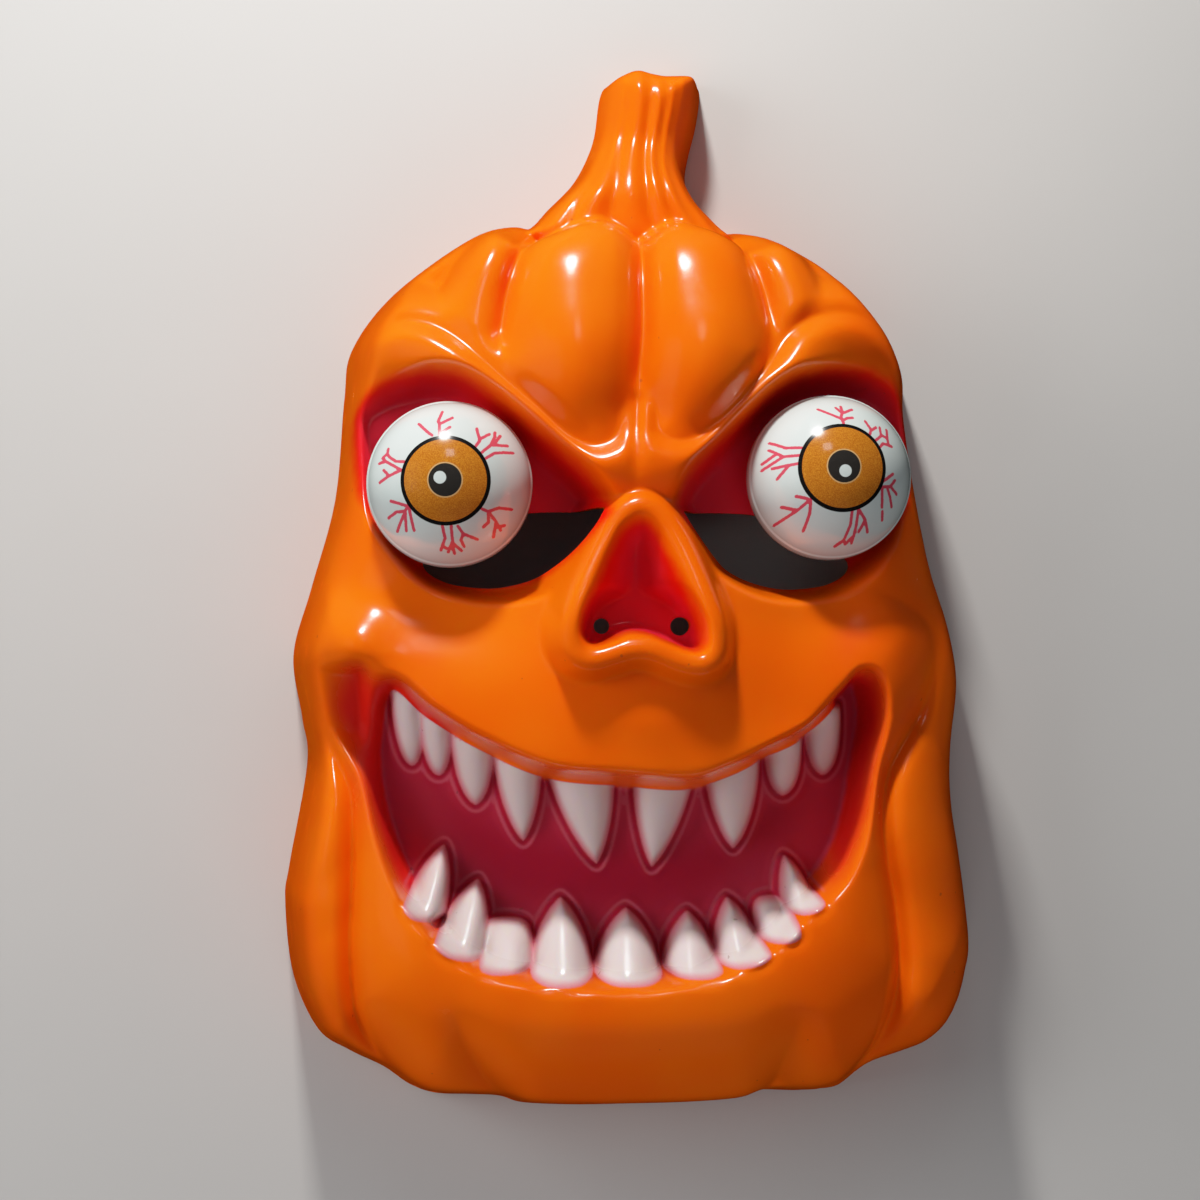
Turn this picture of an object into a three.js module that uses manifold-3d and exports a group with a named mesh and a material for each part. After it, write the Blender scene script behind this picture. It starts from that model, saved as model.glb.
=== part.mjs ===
import * as THREE from 'three';
import { mergeVertices } from 'three/addons/utils/BufferGeometryUtils.js';
import Module from 'manifold-3d';

// Moulded pumpkin skull mask, lying on its back rim with the face up.
// Millimetres. +X is the viewer's right, +Y runs to the stem and +Z comes out of the face.
// Points are given from the middle of the nose bridge line, in the plane of the rim.

// The moulded sheet
const WALL = 1.4;
const MOULD_RADIUS = 0.9;

// How the relief is read, and how large the facets are
const GRID_STEP = 1;
const CURVE_STEP = 2;
const RIM_STEP = 6.5;
const STEM_RIM_STEP = 3.6;
const SHOULDER_INSET = 4.2;
const FACET_TOLERANCE = 0.12;
const FACET_GAP = 2.6;
const FACET_WOBBLE = 0.12;
const FACE_POINTS = 1990;
const REFINE_ROUNDS = 14;
const CUTTER_STEP = 6;
const CUTTER = { from: -20, depth: 140 };

// The front: a rounded dome that starts on a steep side wall
const DOME = { start: 20, edge: 3.5, reach: 62, top: 66, fullness: 2.3 };
const CROWN = { rise: 8, low: 20, high: 70, flat: 20, side: 70 };
const TOP_EDGE = { rise: 3, low: 60, high: 95 };
const SIDE_WALL = { slope: 6, height: 24, shoulder: 0.67, shoulderRound: 3, round: 5 };
const CHIN_WALL = { slope: 3, from: -138, to: -158 };

// Soft swellings and hollows: middle x and y, reach x and y, and rise
const SWELLINGS = [[0, -60, 60, 45, 5], [0, -140, 62, 34, 11], [0, -30, 42, 30, 12]];
const CHEEK_HOLLOWS = [[-58, -12, 26, 14, -7], [58, -12, 26, 14, -7]];

// The rim of the head, anticlockwise from the middle of the chin
const HEAD_RIGHT = [[0, -169.8], [18, -169.5], [33, -168.3], [42, -165.8], [56, -166], [66, -164.8],
  [76, -158], [86, -154.5], [95, -151], [103, -144.5], [108, -136], [111, -126], [112.7, -114],
  [110, -89.5], [107.3, -70], [107.3, -54], [109.4, -32], [106.8, -14], [100.8, 7], [95.8, 33.5],
  [92.7, 55], [92, 70], [84, 87], [66, 106], [41, 119]];
const HEAD_TOP = [[25, 122.5], [0, 123], [-25, 123]];
const HEAD_LEFT = [[-41, 120.5], [-56, 115], [-79, 97.5], [-92.3, 79], [-94.8, 62], [-97.5, 29],
  [-105, 0], [-110.8, -22.5], [-107.8, -43], [-106, -58], [-111.5, -91], [-112.8, -103],
  [-110, -126.5], [-101.8, -144.5], [-91.5, -151.5], [-80.5, -156.8], [-72, -162.6], [-63.5, -165.6],
  [-51.5, -166.2], [-42.5, -166.8], [-35, -169], [-18.5, -169.9]];

// The stem leans to the right and is cut off unevenly
const STEM_RIGHT = [[30, 120.5], [23.6, 127.4], [20.2, 134], [19.2, 139], [20.3, 146], [22.8, 156],
  [24.2, 165.7]];
const STEM_CUT = [[23.6, 170], [20, 172.3], [10, 172.3], [1.6, 174], [-6.6, 170.4]];
const STEM_LEFT = [[-9.6, 166], [-11.6, 152.2], [-14.6, 143.7], [-18.3, 136.9], [-22, 132.5],
  [-27.2, 127.3], [-34, 120]];
const STEM_ROOT = [[-40, 112], [-20, 100], [20, 100], [37, 112]];
const STEM = { height: 28, edge: 1, reach: 15, fullness: 2.2, lowest: 95, round: 4, join: 1.5 };
const FLUTES = { count: 8, depth: 2.3, twist: 0.35, fadeIn: 5 };
const FLUTE_RUN = { start: 120, end: 170, fadeStart: 150, fadeEnd: 178 };

// Grooves between the pumpkin's ribs: x, y and depth
const RIB_GROOVES = [
  [[0.5, 125, 14], [0.4, 112, 14], [0, 95, 12.5], [-0.3, 75, 9.5], [-0.7, 60, 6.5]],
  [[-24, 122, 13], [-27, 113, 14], [-34, 104, 13.5], [-41.5, 82, 10], [-45, 62, 7]],
  [[-52, 120, 11], [-56, 107, 12], [-63, 97, 11], [-75, 79, 7]],
  [[22, 122, 13], [25, 114, 14], [31, 106, 13.5], [38.5, 84, 10], [39.5, 72, 8], [37, 65, 7]],
  [[50, 120, 11], [54, 108, 12], [60, 98, 11], [66, 83, 7]],
];
const RIB_CUT = { reach: 19, sharpness: 2 };

// Brow rolls: x, y and height of the crest. Above each runs a crease: x, y and depth
const BROWS = [
  [[-90.5, 46, 42], [-90, 58, 47], [-86.1, 67, 55], [-78.9, 71.2, 61], [-70.5, 71.6, 66],
    [-62, 67.9, 70], [-50.6, 59.6, 75], [-29.3, 39.3, 81], [-15, 29, 83]],
  [[87, 48, 42], [85.5, 60, 47], [79, 70.6, 55], [69.9, 75.4, 61], [60.9, 76.4, 66], [51, 72, 70],
    [41, 62.7, 75], [21.9, 41.8, 81], [11, 30.6, 83]],
];
const BROW_CREASES = [
  [[-93, 62, 1.5], [-87.3, 71.7, 3.4], [-78.2, 77.3, 4.5], [-67.7, 77.5, 4.9], [-57.5, 72.3, 5.2],
    [-30.7, 51.8, 6], [-16.7, 41.4, 6], [-10.7, 36.8, 5.6], [-6.2, 38.2, 4.9], [-3.6, 46.3, 4.1],
    [-2, 56.5, 2.2]],
  [[87, 66, 1.5], [77.5, 76.5, 3.4], [68.2, 81.5, 4.5], [57.5, 81.5, 4.9], [46.5, 75.9, 5.2],
    [24.6, 53.9, 6], [13.2, 43.5, 6], [8, 38.6, 5.6], [3.8, 39.8, 4.9], [1.6, 46.8, 4.1],
    [0.4, 56.5, 2.2]],
];
const BROW_ROLL = { tightness: 10, round: 2.5 };
const BROW_CUT = { reach: 8, sharpness: 1.8 };
const BRIDGE = { x: -0.5, y: 27, height: 83, halfWidth: 5.5, halfLength: 4.2, round: 4 };

// Eye sockets, with the slots that the wearer looks through
const SOCKETS = [
  [[-86.6, 50], [-81.5, 55.2], [-74, 58], [-62.2, 58.9], [-49.9, 53.4], [-25.7, 32.8],
    [-16.6, 23.8], [-12.3, 18.8], [-13, 15.1], [-20.8, 4.5], [-31.4, -2.1], [-43.6, -4.6],
    [-53.7, -4], [-65, 0], [-75.9, 10], [-82.5, 20], [-85.7, 35]],
  [[84, 49], [79, 57.6], [68.8, 61.5], [55.5, 60], [42.2, 53.5], [20, 32.3], [13.8, 23],
    [12.6, 18.5], [16.8, 10.9], [25.2, 3.2], [36.2, -1.9], [48.9, -3.8], [60.1, -2.2], [71.5, 5.2],
    [80, 17], [84.3, 34]],
];
const SOCKET = { floor: 36, cornerRise: 8, outer: 42, inner: 15, wallSlope: 5.5, wallEdge: 1, round: 4 };
const SLOT = [[13.3, 17.5], [14.5, 20.2], [36, 20.2], [41, 16], [46, 11], [54, 8], [63, 8.5],
  [67.5, 6], [66, 2], [60, -1.3], [52, -2.8], [43, -2.9], [33, -0.4], [25, 4], [18.5, 10]];

// Nose ring and the cavity inside it, with two nostril holes: x, y and radius
const NOSE_RING = [[-0.5, 21.5], [-8.5, 12], [-13.5, 2], [-18, -10], [-21.5, -20], [-22.3, -26],
  [-18.5, -29.6], [-11, -29.3], [-3, -25.8], [5, -29.3], [13.5, -30.6], [18.7, -27.5], [18.2, -20],
  [16, -9], [12.8, 1.5], [8, 12.5]];
const NOSE_CAVITY = [[-0.3, 14.5], [-8, 1.5], [-13.8, -10.5], [-17.2, -19], [-15.5, -21.8],
  [-9.5, -21.5], [-2.8, -18.3], [5.2, -21], [13, -23.3], [15.6, -21.5], [15, -14.5], [10.7, -3],
  [5, 8]];
const NOSE = { top: 20, tip: -18, height: 78, tipRise: 13, tightness: 6, ringRound: 2.5 };
const NOSE_FLANK = { drop: 4, slope: 4, start: 1, round: 5 };
const CAVITY = { floor: 61, wallSlope: 5.5, wallEdge: 1.5, dish: 2, round: 2.5 };
const NOSTRILS = [[-12.8, -15.3, 2.4], [12.2, -15, 3]];
const NOSTRIL_SIDES = 12;

// Smile folds outside the mouth: x, y and height. Creases outside them: x, y and depth
const SMILE_FOLDS = [
  [[-84, -9.5, 60], [-91, -12.5, 57], [-98, -17, 53], [-101.5, -24, 49], [-100.5, -38, 46],
    [-90, -69, 51], [-81, -102, 59], [-72, -117, 62]],
  [[78, -9, 60], [85.5, -12, 57], [92, -17.5, 53], [94.5, -26, 49], [92.5, -38, 47],
    [81, -68, 53], [71, -101, 61], [62, -114, 64]],
];
const SIDE_CREASES = [
  [[-90, -4.5, 1.5], [-99, -6, 3], [-105, -12, 4], [-107, -22, 4.5], [-105.5, -33, 6],
    [-97.5, -58, 9], [-95, -72, 8.5], [-92.5, -104, 11], [-89.5, -135, 14], [-85, -150, 14],
    [-80, -160, 13]],
  [[74, -1.5, 1.5], [84, -2.5, 3], [94, -6, 4], [99.5, -14, 5], [100.5, -24, 6], [94.5, -48, 11],
    [85.5, -75, 12.5], [82.5, -103, 13.5], [84, -131, 14], [81, -146, 14], [77, -159, 13]],
];
const CHIN_CREASES = [
  [[-42, -169, 9], [-47, -160, 10], [-52, -150, 8], [-55.5, -139, 5], [-58, -130, 1]],
  [[42, -169, 9], [41, -160, 9], [42, -150, 7], [44, -139, 4], [46, -130, 0]],
];
const SMILE_ROLL = { tightness: 30, round: 6 };
const FOLD_CUT = { reach: 14, sharpness: 2.1 };

// Lips: x, y and height of the crest, and the recessed mouth between them
const UPPER_LIP = [[-92, -28, 50], [-79, -31, 57], [-66, -40, 64], [-53, -47, 69], [-26, -56, 76],
  [0, -59, 78.5], [31.5, -55, 76], [47, -48.3, 72], [63.5, -35.5, 66], [75, -25.5, 59],
  [86, -22, 52]];
const LOWER_LIP = [[-86, -86, 55], [-80, -101, 60], [-71, -114, 65], [-53, -124.5, 71],
  [-32, -129.8, 74], [-6, -131.3, 75], [19, -129, 74], [40, -122, 71], [54.5, -110.5, 66],
  [63, -95, 61], [70, -80, 56]];
const UPPER_LIP_ROLL = { tightness: 30, round: 5 };
const LOWER_LIP_ROLL = { tightness: 45, round: 9 };
const ROLL_REACH = 45;
const MOUTH = [[-79, -33], [-66, -42.5], [-53.5, -50], [-26, -59], [0, -62.3], [33, -58.2],
  [49, -51], [65, -38.5], [75, -29.5], [74.5, -45], [70, -68], [63.5, -89], [56, -104], [42, -117],
  [20, -124], [-5, -126.5], [-31, -125], [-51, -119.5], [-65, -108.5], [-74, -94], [-79, -77],
  [-81.5, -55]];
const MOUTH_FLOOR = { height: 47, sideDrop: 15, half: 80 };
const MOUTH_WALL = { slope: 5.5, sideSlope: 1.9, sideStart: 50, sideEnd: 85 };
const MOUTH_EDGE = { round: 3.5, softer: 5, lowStart: -80, lowEnd: -110 };

// Teeth: root x and y, tip x and y, half the width, and how blunt the tip is
const UPPER_TEETH = [
  [-72.5, -34, -70.5, -58.5, 5.4, 2.6], [-63.5, -40.5, -62.2, -61.5, 5.3, 2.6],
  [-52, -48.5, -50.6, -70.5, 6.8, 2.2], [-38, -55, -36, -81.5, 7.6, 1.7],
  [-18.6, -58.5, -13.4, -88.5, 10.6, 1.5], [7.2, -59.5, 3.6, -89.5, 9.9, 1.5],
  [28.4, -58, 29.2, -84, 8.9, 1.5], [44.8, -51.5, 45.2, -67.8, 6.3, 2.2],
  [57.6, -42.5, 58.4, -61.5, 6.5, 2.2],
];
const LOWER_TEETH = [
  [-67, -105, -60.4, -82.5, 6, 1.7], [-56, -118, -51.5, -94, 7.8, 1.7],
  [-41.5, -122, -41.2, -105.5, 8.6, 4], [-24.5, -125.5, -24, -99.5, 9, 1.6],
  [-4, -125.5, -4.2, -103, 9.7, 1.6], [15, -123.5, 14.9, -103.8, 7.8, 1.6],
  [31.2, -120, 28.2, -99.3, 6.7, 1.7], [39.5, -113.5, 42, -99.8, 6.2, 4],
  [48.8, -103, 45.4, -86.5, 5.2, 1.7],
];
const TOOTH = { rootRise: 13, tipRise: 5.5, rounding: 5.5, edge: 0.8, round: 0.8 };
const TOOTH_STATIONS = [0, 0.12, 0.3, 0.5, 0.7, 0.86, 0.96];
const TOOTH_TAPER = 0.85;
const ROUND_ROOT = { length: 0.35, narrowest: 0.08 };
const GUM = { rise: 2.4, reach: 5, over: 0.2 };

// Eyeballs: two half shells on a small flat back
const EYES = { left: [-59, 27.6], right: [57.6, 30.5] };
const EYE = { radius: 25.4, back: 20.6, seam: 4, step: 0.35, height: 57.4 };
const EYE_SIDES = 26;
const EYE_BACK_ARCS = 5;
const EYE_FRONT_ARCS = 6;

const wasm = await Module();
wasm.setup();

const clamp = (value, low, high) => Math.min(Math.max(value, low), high);

function ease(from, to, value) {
  const t = clamp((value - from) / (to - from), 0, 1);
  return t * t * (3 - 2 * t);
}

// The higher and the lower of two heights, rounded where they meet
const softMax = (a, b, round) => 0.5 * (a + b + Math.hypot(a - b, round));
const softMin = (a, b, round) => 0.5 * (a + b - Math.hypot(a - b, round));

// A smooth curve through the points, which may carry a third value along
function curve(points, closed, spacing = CURVE_STEP) {
  const count = points.length;
  const at = (i) => {
    if (closed) return points[(i + count) % count];
    if (i < 0) return points[0].map((v, k) => 2 * v - points[1][k]);
    if (i >= count) return points[count - 1].map((v, k) => 2 * v - points[count - 2][k]);
    return points[i];
  };
  const line = [];
  for (let i = 0; i < (closed ? count : count - 1); i += 1) {
    const [a, b, c, d] = [at(i - 1), at(i), at(i + 1), at(i + 2)];
    const pieces = Math.max(1, Math.ceil(Math.hypot(c[0] - b[0], c[1] - b[1]) / spacing));
    for (let k = 0; k < pieces; k += 1) {
      const t = k / pieces;
      line.push(b.map((v, j) => 0.5 * (2 * v + (c[j] - a[j]) * t
        + (2 * a[j] - 5 * v + 4 * c[j] - d[j]) * t * t
        + (3 * v - a[j] - 3 * c[j] + d[j]) * t * t * t)));
    }
  }
  if (!closed) line.push(points[count - 1]);
  return line;
}

const HEAD = curve([...HEAD_RIGHT, ...HEAD_TOP, ...HEAD_LEFT], true);
const STEM_OUTLINE = curve([...STEM_RIGHT, ...STEM_CUT, ...STEM_LEFT, ...STEM_ROOT], true);
const RIM_ROUTE = [
  { points: HEAD_RIGHT, step: RIM_STEP },
  { points: [...STEM_RIGHT, ...STEM_CUT, ...STEM_LEFT], step: STEM_RIM_STEP },
  { points: HEAD_LEFT, step: RIM_STEP },
];

// The square grid on which the relief is worked out
const GRID = { x: -118, y: -175, columns: 237, rows: 355 };

// The grid's columns and rows that lie in a box round some points, widened by a margin
function gridWindow(points, margin) {
  const range = (axis, start, size) => {
    const values = points.map((point) => point[axis]);
    const first = Math.ceil((Math.min(...values) - margin - start) / GRID_STEP);
    const last = Math.floor((Math.max(...values) + margin - start) / GRID_STEP);
    return [Math.max(0, first), Math.min(size - 1, last)];
  };
  return { columns: range(0, GRID.x, GRID.columns), rows: range(1, GRID.y, GRID.rows) };
}

// Runs a rule for the grid points of a window: its number, x and y
function overWindow({ columns, rows }, rule) {
  for (let row = rows[0]; row <= rows[1]; row += 1) {
    for (let column = columns[0]; column <= columns[1]; column += 1) {
      rule(row * GRID.columns + column, GRID.x + column * GRID_STEP, GRID.y + row * GRID_STEP);
    }
  }
}

const overGrid = (rule) => overWindow({ columns: [0, GRID.columns - 1], rows: [0, GRID.rows - 1] }, rule);

// Distance from each grid point to a line, up to a reach, and the line's third value there
function nearLine(line, closed, reach) {
  const distance = new Float64Array(GRID.columns * GRID.rows).fill(reach);
  const value = new Float64Array(distance.length);
  const segments = closed ? line.length : line.length - 1;
  for (let i = 0; i < segments; i += 1) {
    const [a, b] = [line[i], line[(i + 1) % line.length]];
    const [ex, ey] = [b[0] - a[0], b[1] - a[1]];
    const length2 = ex * ex + ey * ey;
    overWindow(gridWindow([a, b], reach), (n, x, y) => {
      const [px, py] = [x - a[0], y - a[1]];
      const t = clamp((px * ex + py * ey) / length2, 0, 1);
      const d = Math.hypot(px - t * ex, py - t * ey);
      if (d < distance[n]) {
        distance[n] = d;
        value[n] = a.length > 2 ? a[2] + t * (b[2] - a[2]) : 0;
      }
    });
  }
  return { distance, value };
}

// Where an outline crosses a level, from left to right
function crossingsAt(outline, y) {
  const crossings = [];
  outline.forEach((a, i) => {
    const b = outline[(i + 1) % outline.length];
    if ((a[1] > y) !== (b[1] > y)) {
      crossings.push(((b[0] - a[0]) * (y - a[1])) / (b[1] - a[1]) + a[0]);
    }
  });
  return crossings;
}

const isBetween = (crossings, x) => crossings.filter((edge) => edge > x).length % 2 === 1;

// Distance to an outline on the grid, positive inside it and negative outside, up to a reach
function depthInside(outline, reach) {
  const { distance } = nearLine(outline, true, reach);
  for (let row = 0; row < GRID.rows; row += 1) {
    const crossings = crossingsAt(outline, GRID.y + row * GRID_STEP);
    for (let column = 0; column < GRID.columns; column += 1) {
      const within = isBetween(crossings, GRID.x + column * GRID_STEP);
      if (!within) distance[row * GRID.columns + column] *= -1;
    }
  }
  return distance;
}

function cutGroove(height, points, { reach, sharpness }) {
  const { distance, value } = nearLine(curve(points, false), false, reach);
  overGrid((n) => {
    height[n] -= value[n] * (1 - distance[n] / reach) ** sharpness;
  });
}

function raiseRoll(height, points, { tightness, round }) {
  const { distance, value } = nearLine(curve(points, false), false, ROLL_REACH);
  overGrid((n) => {
    if (distance[n] < ROLL_REACH) {
      height[n] = softMax(height[n], value[n] - distance[n] ** 2 / tightness, round);
    }
  });
}

// The sum of some soft swellings or hollows at a place
function swelling(list, x, y) {
  return list.reduce((sum, [cx, cy, rx, ry, rise]) => {
    return sum + rise * Math.exp(-(((x - cx) / rx) ** 2) - ((y - cy) / ry) ** 2);
  }, 0);
}

// The bulging front of the pumpkin: crown, muzzle, upper lip and chin stand out
function raiseDome(height, inside) {
  overGrid((n, x, y) => {
    const crown = CROWN.rise * ease(CROWN.low, CROWN.high, y) * ease(CROWN.side, CROWN.flat, Math.abs(x));
    const rise = DOME.top + crown + swelling(SWELLINGS, x, y) - DOME.start;
    const t = clamp((inside[n] - DOME.edge) / DOME.reach, 0, 1);
    height[n] = DOME.start + rise * Math.sqrt(1 - (1 - t) ** DOME.fullness);
    height[n] += TOP_EDGE.rise * ease(TOP_EDGE.low, TOP_EDGE.high, y);
  });
}

function hollowCheeks(height) {
  overGrid((n, x, y) => {
    height[n] += swelling(CHEEK_HOLLOWS, x, y);
  });
}

function raiseBridge(height) {
  overGrid((n, x, y) => {
    const across = ((x - BRIDGE.x) / BRIDGE.halfWidth) ** 2;
    const along = ((y - BRIDGE.y) / BRIDGE.halfLength) ** 2;
    height[n] = softMax(height[n], BRIDGE.height - across - along, BRIDGE.round);
  });
}

// Each socket has a steep wall and a floor that rises towards the nose
function sinkSockets(height) {
  SOCKETS.forEach((outline) => {
    const inside = depthInside(curve(outline, true), ROLL_REACH);
    overGrid((n, x) => {
      const floor = SOCKET.floor + SOCKET.cornerRise * ease(SOCKET.outer, SOCKET.inner, Math.abs(x));
      const wall = SOCKET.wallSlope * Math.max(SOCKET.wallEdge - inside[n], 0);
      height[n] = softMin(height[n], floor + wall, SOCKET.round);
    });
  });
}

function raiseNose(height) {
  const inside = depthInside(curve(NOSE_RING, true), ROLL_REACH);
  const cavity = depthInside(curve(NOSE_CAVITY, true), ROLL_REACH);
  overGrid((n, x, y) => {
    const crest = NOSE.height + NOSE.tipRise * ease(NOSE.top, NOSE.tip, y);
    const flank = crest - NOSE_FLANK.drop - NOSE_FLANK.slope * Math.max(-inside[n] - NOSE_FLANK.start, 0);
    const hollow = CAVITY.floor + CAVITY.wallSlope * Math.max(CAVITY.wallEdge - cavity[n], -CAVITY.dish);
    height[n] = softMax(height[n], flank, NOSE_FLANK.round);
    height[n] = softMax(height[n], crest - inside[n] ** 2 / NOSE.tightness, NOSE.ringRound);
    height[n] = softMin(height[n], hollow, CAVITY.round);
  });
}

const mouthFloor = (x) => MOUTH_FLOOR.height - MOUTH_FLOOR.sideDrop * (x / MOUTH_FLOOR.half) ** 2;

function sinkMouth(height) {
  const inside = depthInside(curve(MOUTH, true), ROLL_REACH);
  overGrid((n, x, y) => {
    const side = ease(MOUTH_WALL.sideStart, MOUTH_WALL.sideEnd, Math.abs(x));
    const slope = MOUTH_WALL.slope + (MOUTH_WALL.sideSlope - MOUTH_WALL.slope) * side;
    const low = ease(MOUTH_EDGE.lowStart, MOUTH_EDGE.lowEnd, y);
    const round = MOUTH_EDGE.round + MOUTH_EDGE.softer * Math.max(side, low);
    height[n] = softMin(height[n], mouthFloor(x) + slope * Math.max(-inside[n], 0), round);
  });
}

// A tooth's outline: full at the root, narrowing to the tip, and round at the root where it shows
function toothOutline([rootX, rootY, tipX, tipY, half, blunt], roundRoot) {
  const axis = new THREE.Vector2(tipX - rootX, tipY - rootY);
  const side = new THREE.Vector2(-axis.y, axis.x).normalize();
  const width = (s) => {
    const along = clamp(s / ROUND_ROOT.length, ROUND_ROOT.narrowest, 1);
    const root = roundRoot ? Math.sqrt(1 - (1 - along) ** 2) : 1;
    return half * root * (1 - s ** blunt) ** TOOTH_TAPER;
  };
  const place = (s, w) => [rootX + axis.x * s + side.x * w, rootY + axis.y * s + side.y * w];
  const right = TOOTH_STATIONS.map((s) => place(s, width(s)));
  const left = TOOTH_STATIONS.map((s) => place(s, -width(s)));
  return [...right, [tipX, tipY], ...left.reverse()];
}

function raiseTeeth(height, teeth, roundRoot) {
  teeth.forEach((tooth) => {
    const reach = GUM.reach + TOOTH.edge;
    const inside = depthInside(curve(toothOutline(tooth, roundRoot), true, 1), reach);
    const [, rootY, , tipY] = tooth;
    overGrid((n, x, y) => {
      if (inside[n] < -GUM.reach) return;
      const rootward = clamp((y - tipY) / (rootY - tipY), 0, 1);
      const crown = TOOTH.tipRise + (TOOTH.rootRise - TOOTH.tipRise) * rootward;
      const t = clamp((inside[n] + TOOTH.edge) / TOOTH.rounding, 0, 1);
      const gum = GUM.rise * ease(-GUM.reach, GUM.over, inside[n]);
      const surface = mouthFloor(x) + gum + crown * Math.sqrt(1 - (1 - t) ** 2);
      height[n] = softMax(height[n], surface, TOOTH.round);
    });
  });
}

// The side wall rises steeply from the rim and then leans in, more gently at the chin
function trimToWall(height, inside) {
  overGrid((n, x, y) => {
    const chin = ease(CHIN_WALL.from, CHIN_WALL.to, y);
    const slope = SIDE_WALL.slope + (CHIN_WALL.slope - SIDE_WALL.slope) * chin;
    const past = inside[n] - SIDE_WALL.height / SIDE_WALL.slope;
    const shoulder = SIDE_WALL.height + SIDE_WALL.shoulder * slope * past;
    const wall = softMin(slope * inside[n], shoulder, SIDE_WALL.shoulderRound);
    height[n] = softMin(height[n], wall, SIDE_WALL.round);
  });
}

// The fluted half-round stem behind the crown
function raiseStem(height) {
  const inside = depthInside(STEM_OUTLINE, ROLL_REACH);
  const far = 2 * ROLL_REACH;
  const left = nearLine(curve([...STEM_LEFT, STEM_ROOT[0]], false), false, far).distance;
  const right = nearLine(curve([STEM_ROOT.at(-1), ...STEM_RIGHT], false), false, far).distance;
  overGrid((n, x, y) => {
    if (y < STEM.lowest) return;
    const t = clamp(inside[n] / STEM.reach, 0, 1);
    const across = left[n] / (left[n] + right[n]);
    const turn = across * FLUTES.count + FLUTES.twist * ease(FLUTE_RUN.start, FLUTE_RUN.end, y);
    const wave = Math.abs(Math.sin(Math.PI * turn));
    const fade = ease(0, FLUTES.fadeIn, inside[n]) * ease(FLUTE_RUN.fadeEnd, FLUTE_RUN.fadeStart, y);
    const round = STEM.edge + (STEM.height - STEM.edge) * Math.sqrt(1 - (1 - t) ** STEM.fullness);
    const fluted = round - FLUTES.depth * fade * (1 - wave);
    const stem = softMin(fluted, SIDE_WALL.slope * inside[n], STEM.round);
    height[n] = softMax(height[n], stem, STEM.join);
  });
}

// Rounds every inside corner by the radius of the mould
function blur(height) {
  const reach = Math.ceil((3 * MOULD_RADIUS) / GRID_STEP);
  const offsets = Array.from({ length: 2 * reach + 1 }, (_, k) => k - reach);
  const weights = offsets.map((k) => Math.exp(-0.5 * ((k * GRID_STEP) / MOULD_RADIUS) ** 2));
  const total = weights.reduce((sum, weight) => sum + weight, 0);
  const pass = (source, count, stride, lanes, laneStride) => {
    const target = new Float64Array(source.length);
    for (let lane = 0; lane < lanes; lane += 1) {
      for (let i = 0; i < count; i += 1) {
        const sum = offsets.reduce((run, offset, k) => {
          const near = lane * laneStride + clamp(i + offset, 0, count - 1) * stride;
          return run + weights[k] * source[near];
        }, 0);
        target[lane * laneStride + i * stride] = sum / total;
      }
    }
    return target;
  };
  const across = pass(height, GRID.columns, 1, GRID.rows, GRID.columns);
  return pass(across, GRID.rows, GRID.columns, GRID.columns, 1);
}

function sculpt() {
  const height = new Float64Array(GRID.columns * GRID.rows);
  const inside = depthInside(HEAD, 2 * ROLL_REACH);
  raiseDome(height, inside);
  RIB_GROOVES.forEach((groove) => cutGroove(height, groove, RIB_CUT));
  BROWS.forEach((brow) => raiseRoll(height, brow, BROW_ROLL));
  raiseBridge(height);
  BROW_CREASES.forEach((crease) => cutGroove(height, crease, BROW_CUT));
  hollowCheeks(height);
  SIDE_CREASES.forEach((crease) => cutGroove(height, crease, FOLD_CUT));
  SMILE_FOLDS.forEach((fold) => raiseRoll(height, fold, SMILE_ROLL));
  CHIN_CREASES.forEach((crease) => cutGroove(height, crease, FOLD_CUT));
  raiseRoll(height, UPPER_LIP, UPPER_LIP_ROLL);
  raiseRoll(height, LOWER_LIP, LOWER_LIP_ROLL);
  sinkSockets(height);
  raiseNose(height);
  sinkMouth(height);
  raiseTeeth(height, UPPER_TEETH, false);
  raiseTeeth(height, LOWER_TEETH, true);
  trimToWall(height, inside);
  raiseStem(height);
  return blur(height);
}

const RELIEF = sculpt();

function heightAt(x, y) {
  const last = 1.001;
  const u = clamp((x - GRID.x) / GRID_STEP, 0, GRID.columns - last);
  const v = clamp((y - GRID.y) / GRID_STEP, 0, GRID.rows - last);
  const [column, row] = [Math.floor(u), Math.floor(v)];
  const n = row * GRID.columns + column;
  const low = RELIEF[n] + (RELIEF[n + 1] - RELIEF[n]) * (u - column);
  const upper = n + GRID.columns;
  const high = RELIEF[upper] + (RELIEF[upper + 1] - RELIEF[upper]) * (u - column);
  return low + (high - low) * (v - row);
}

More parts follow.
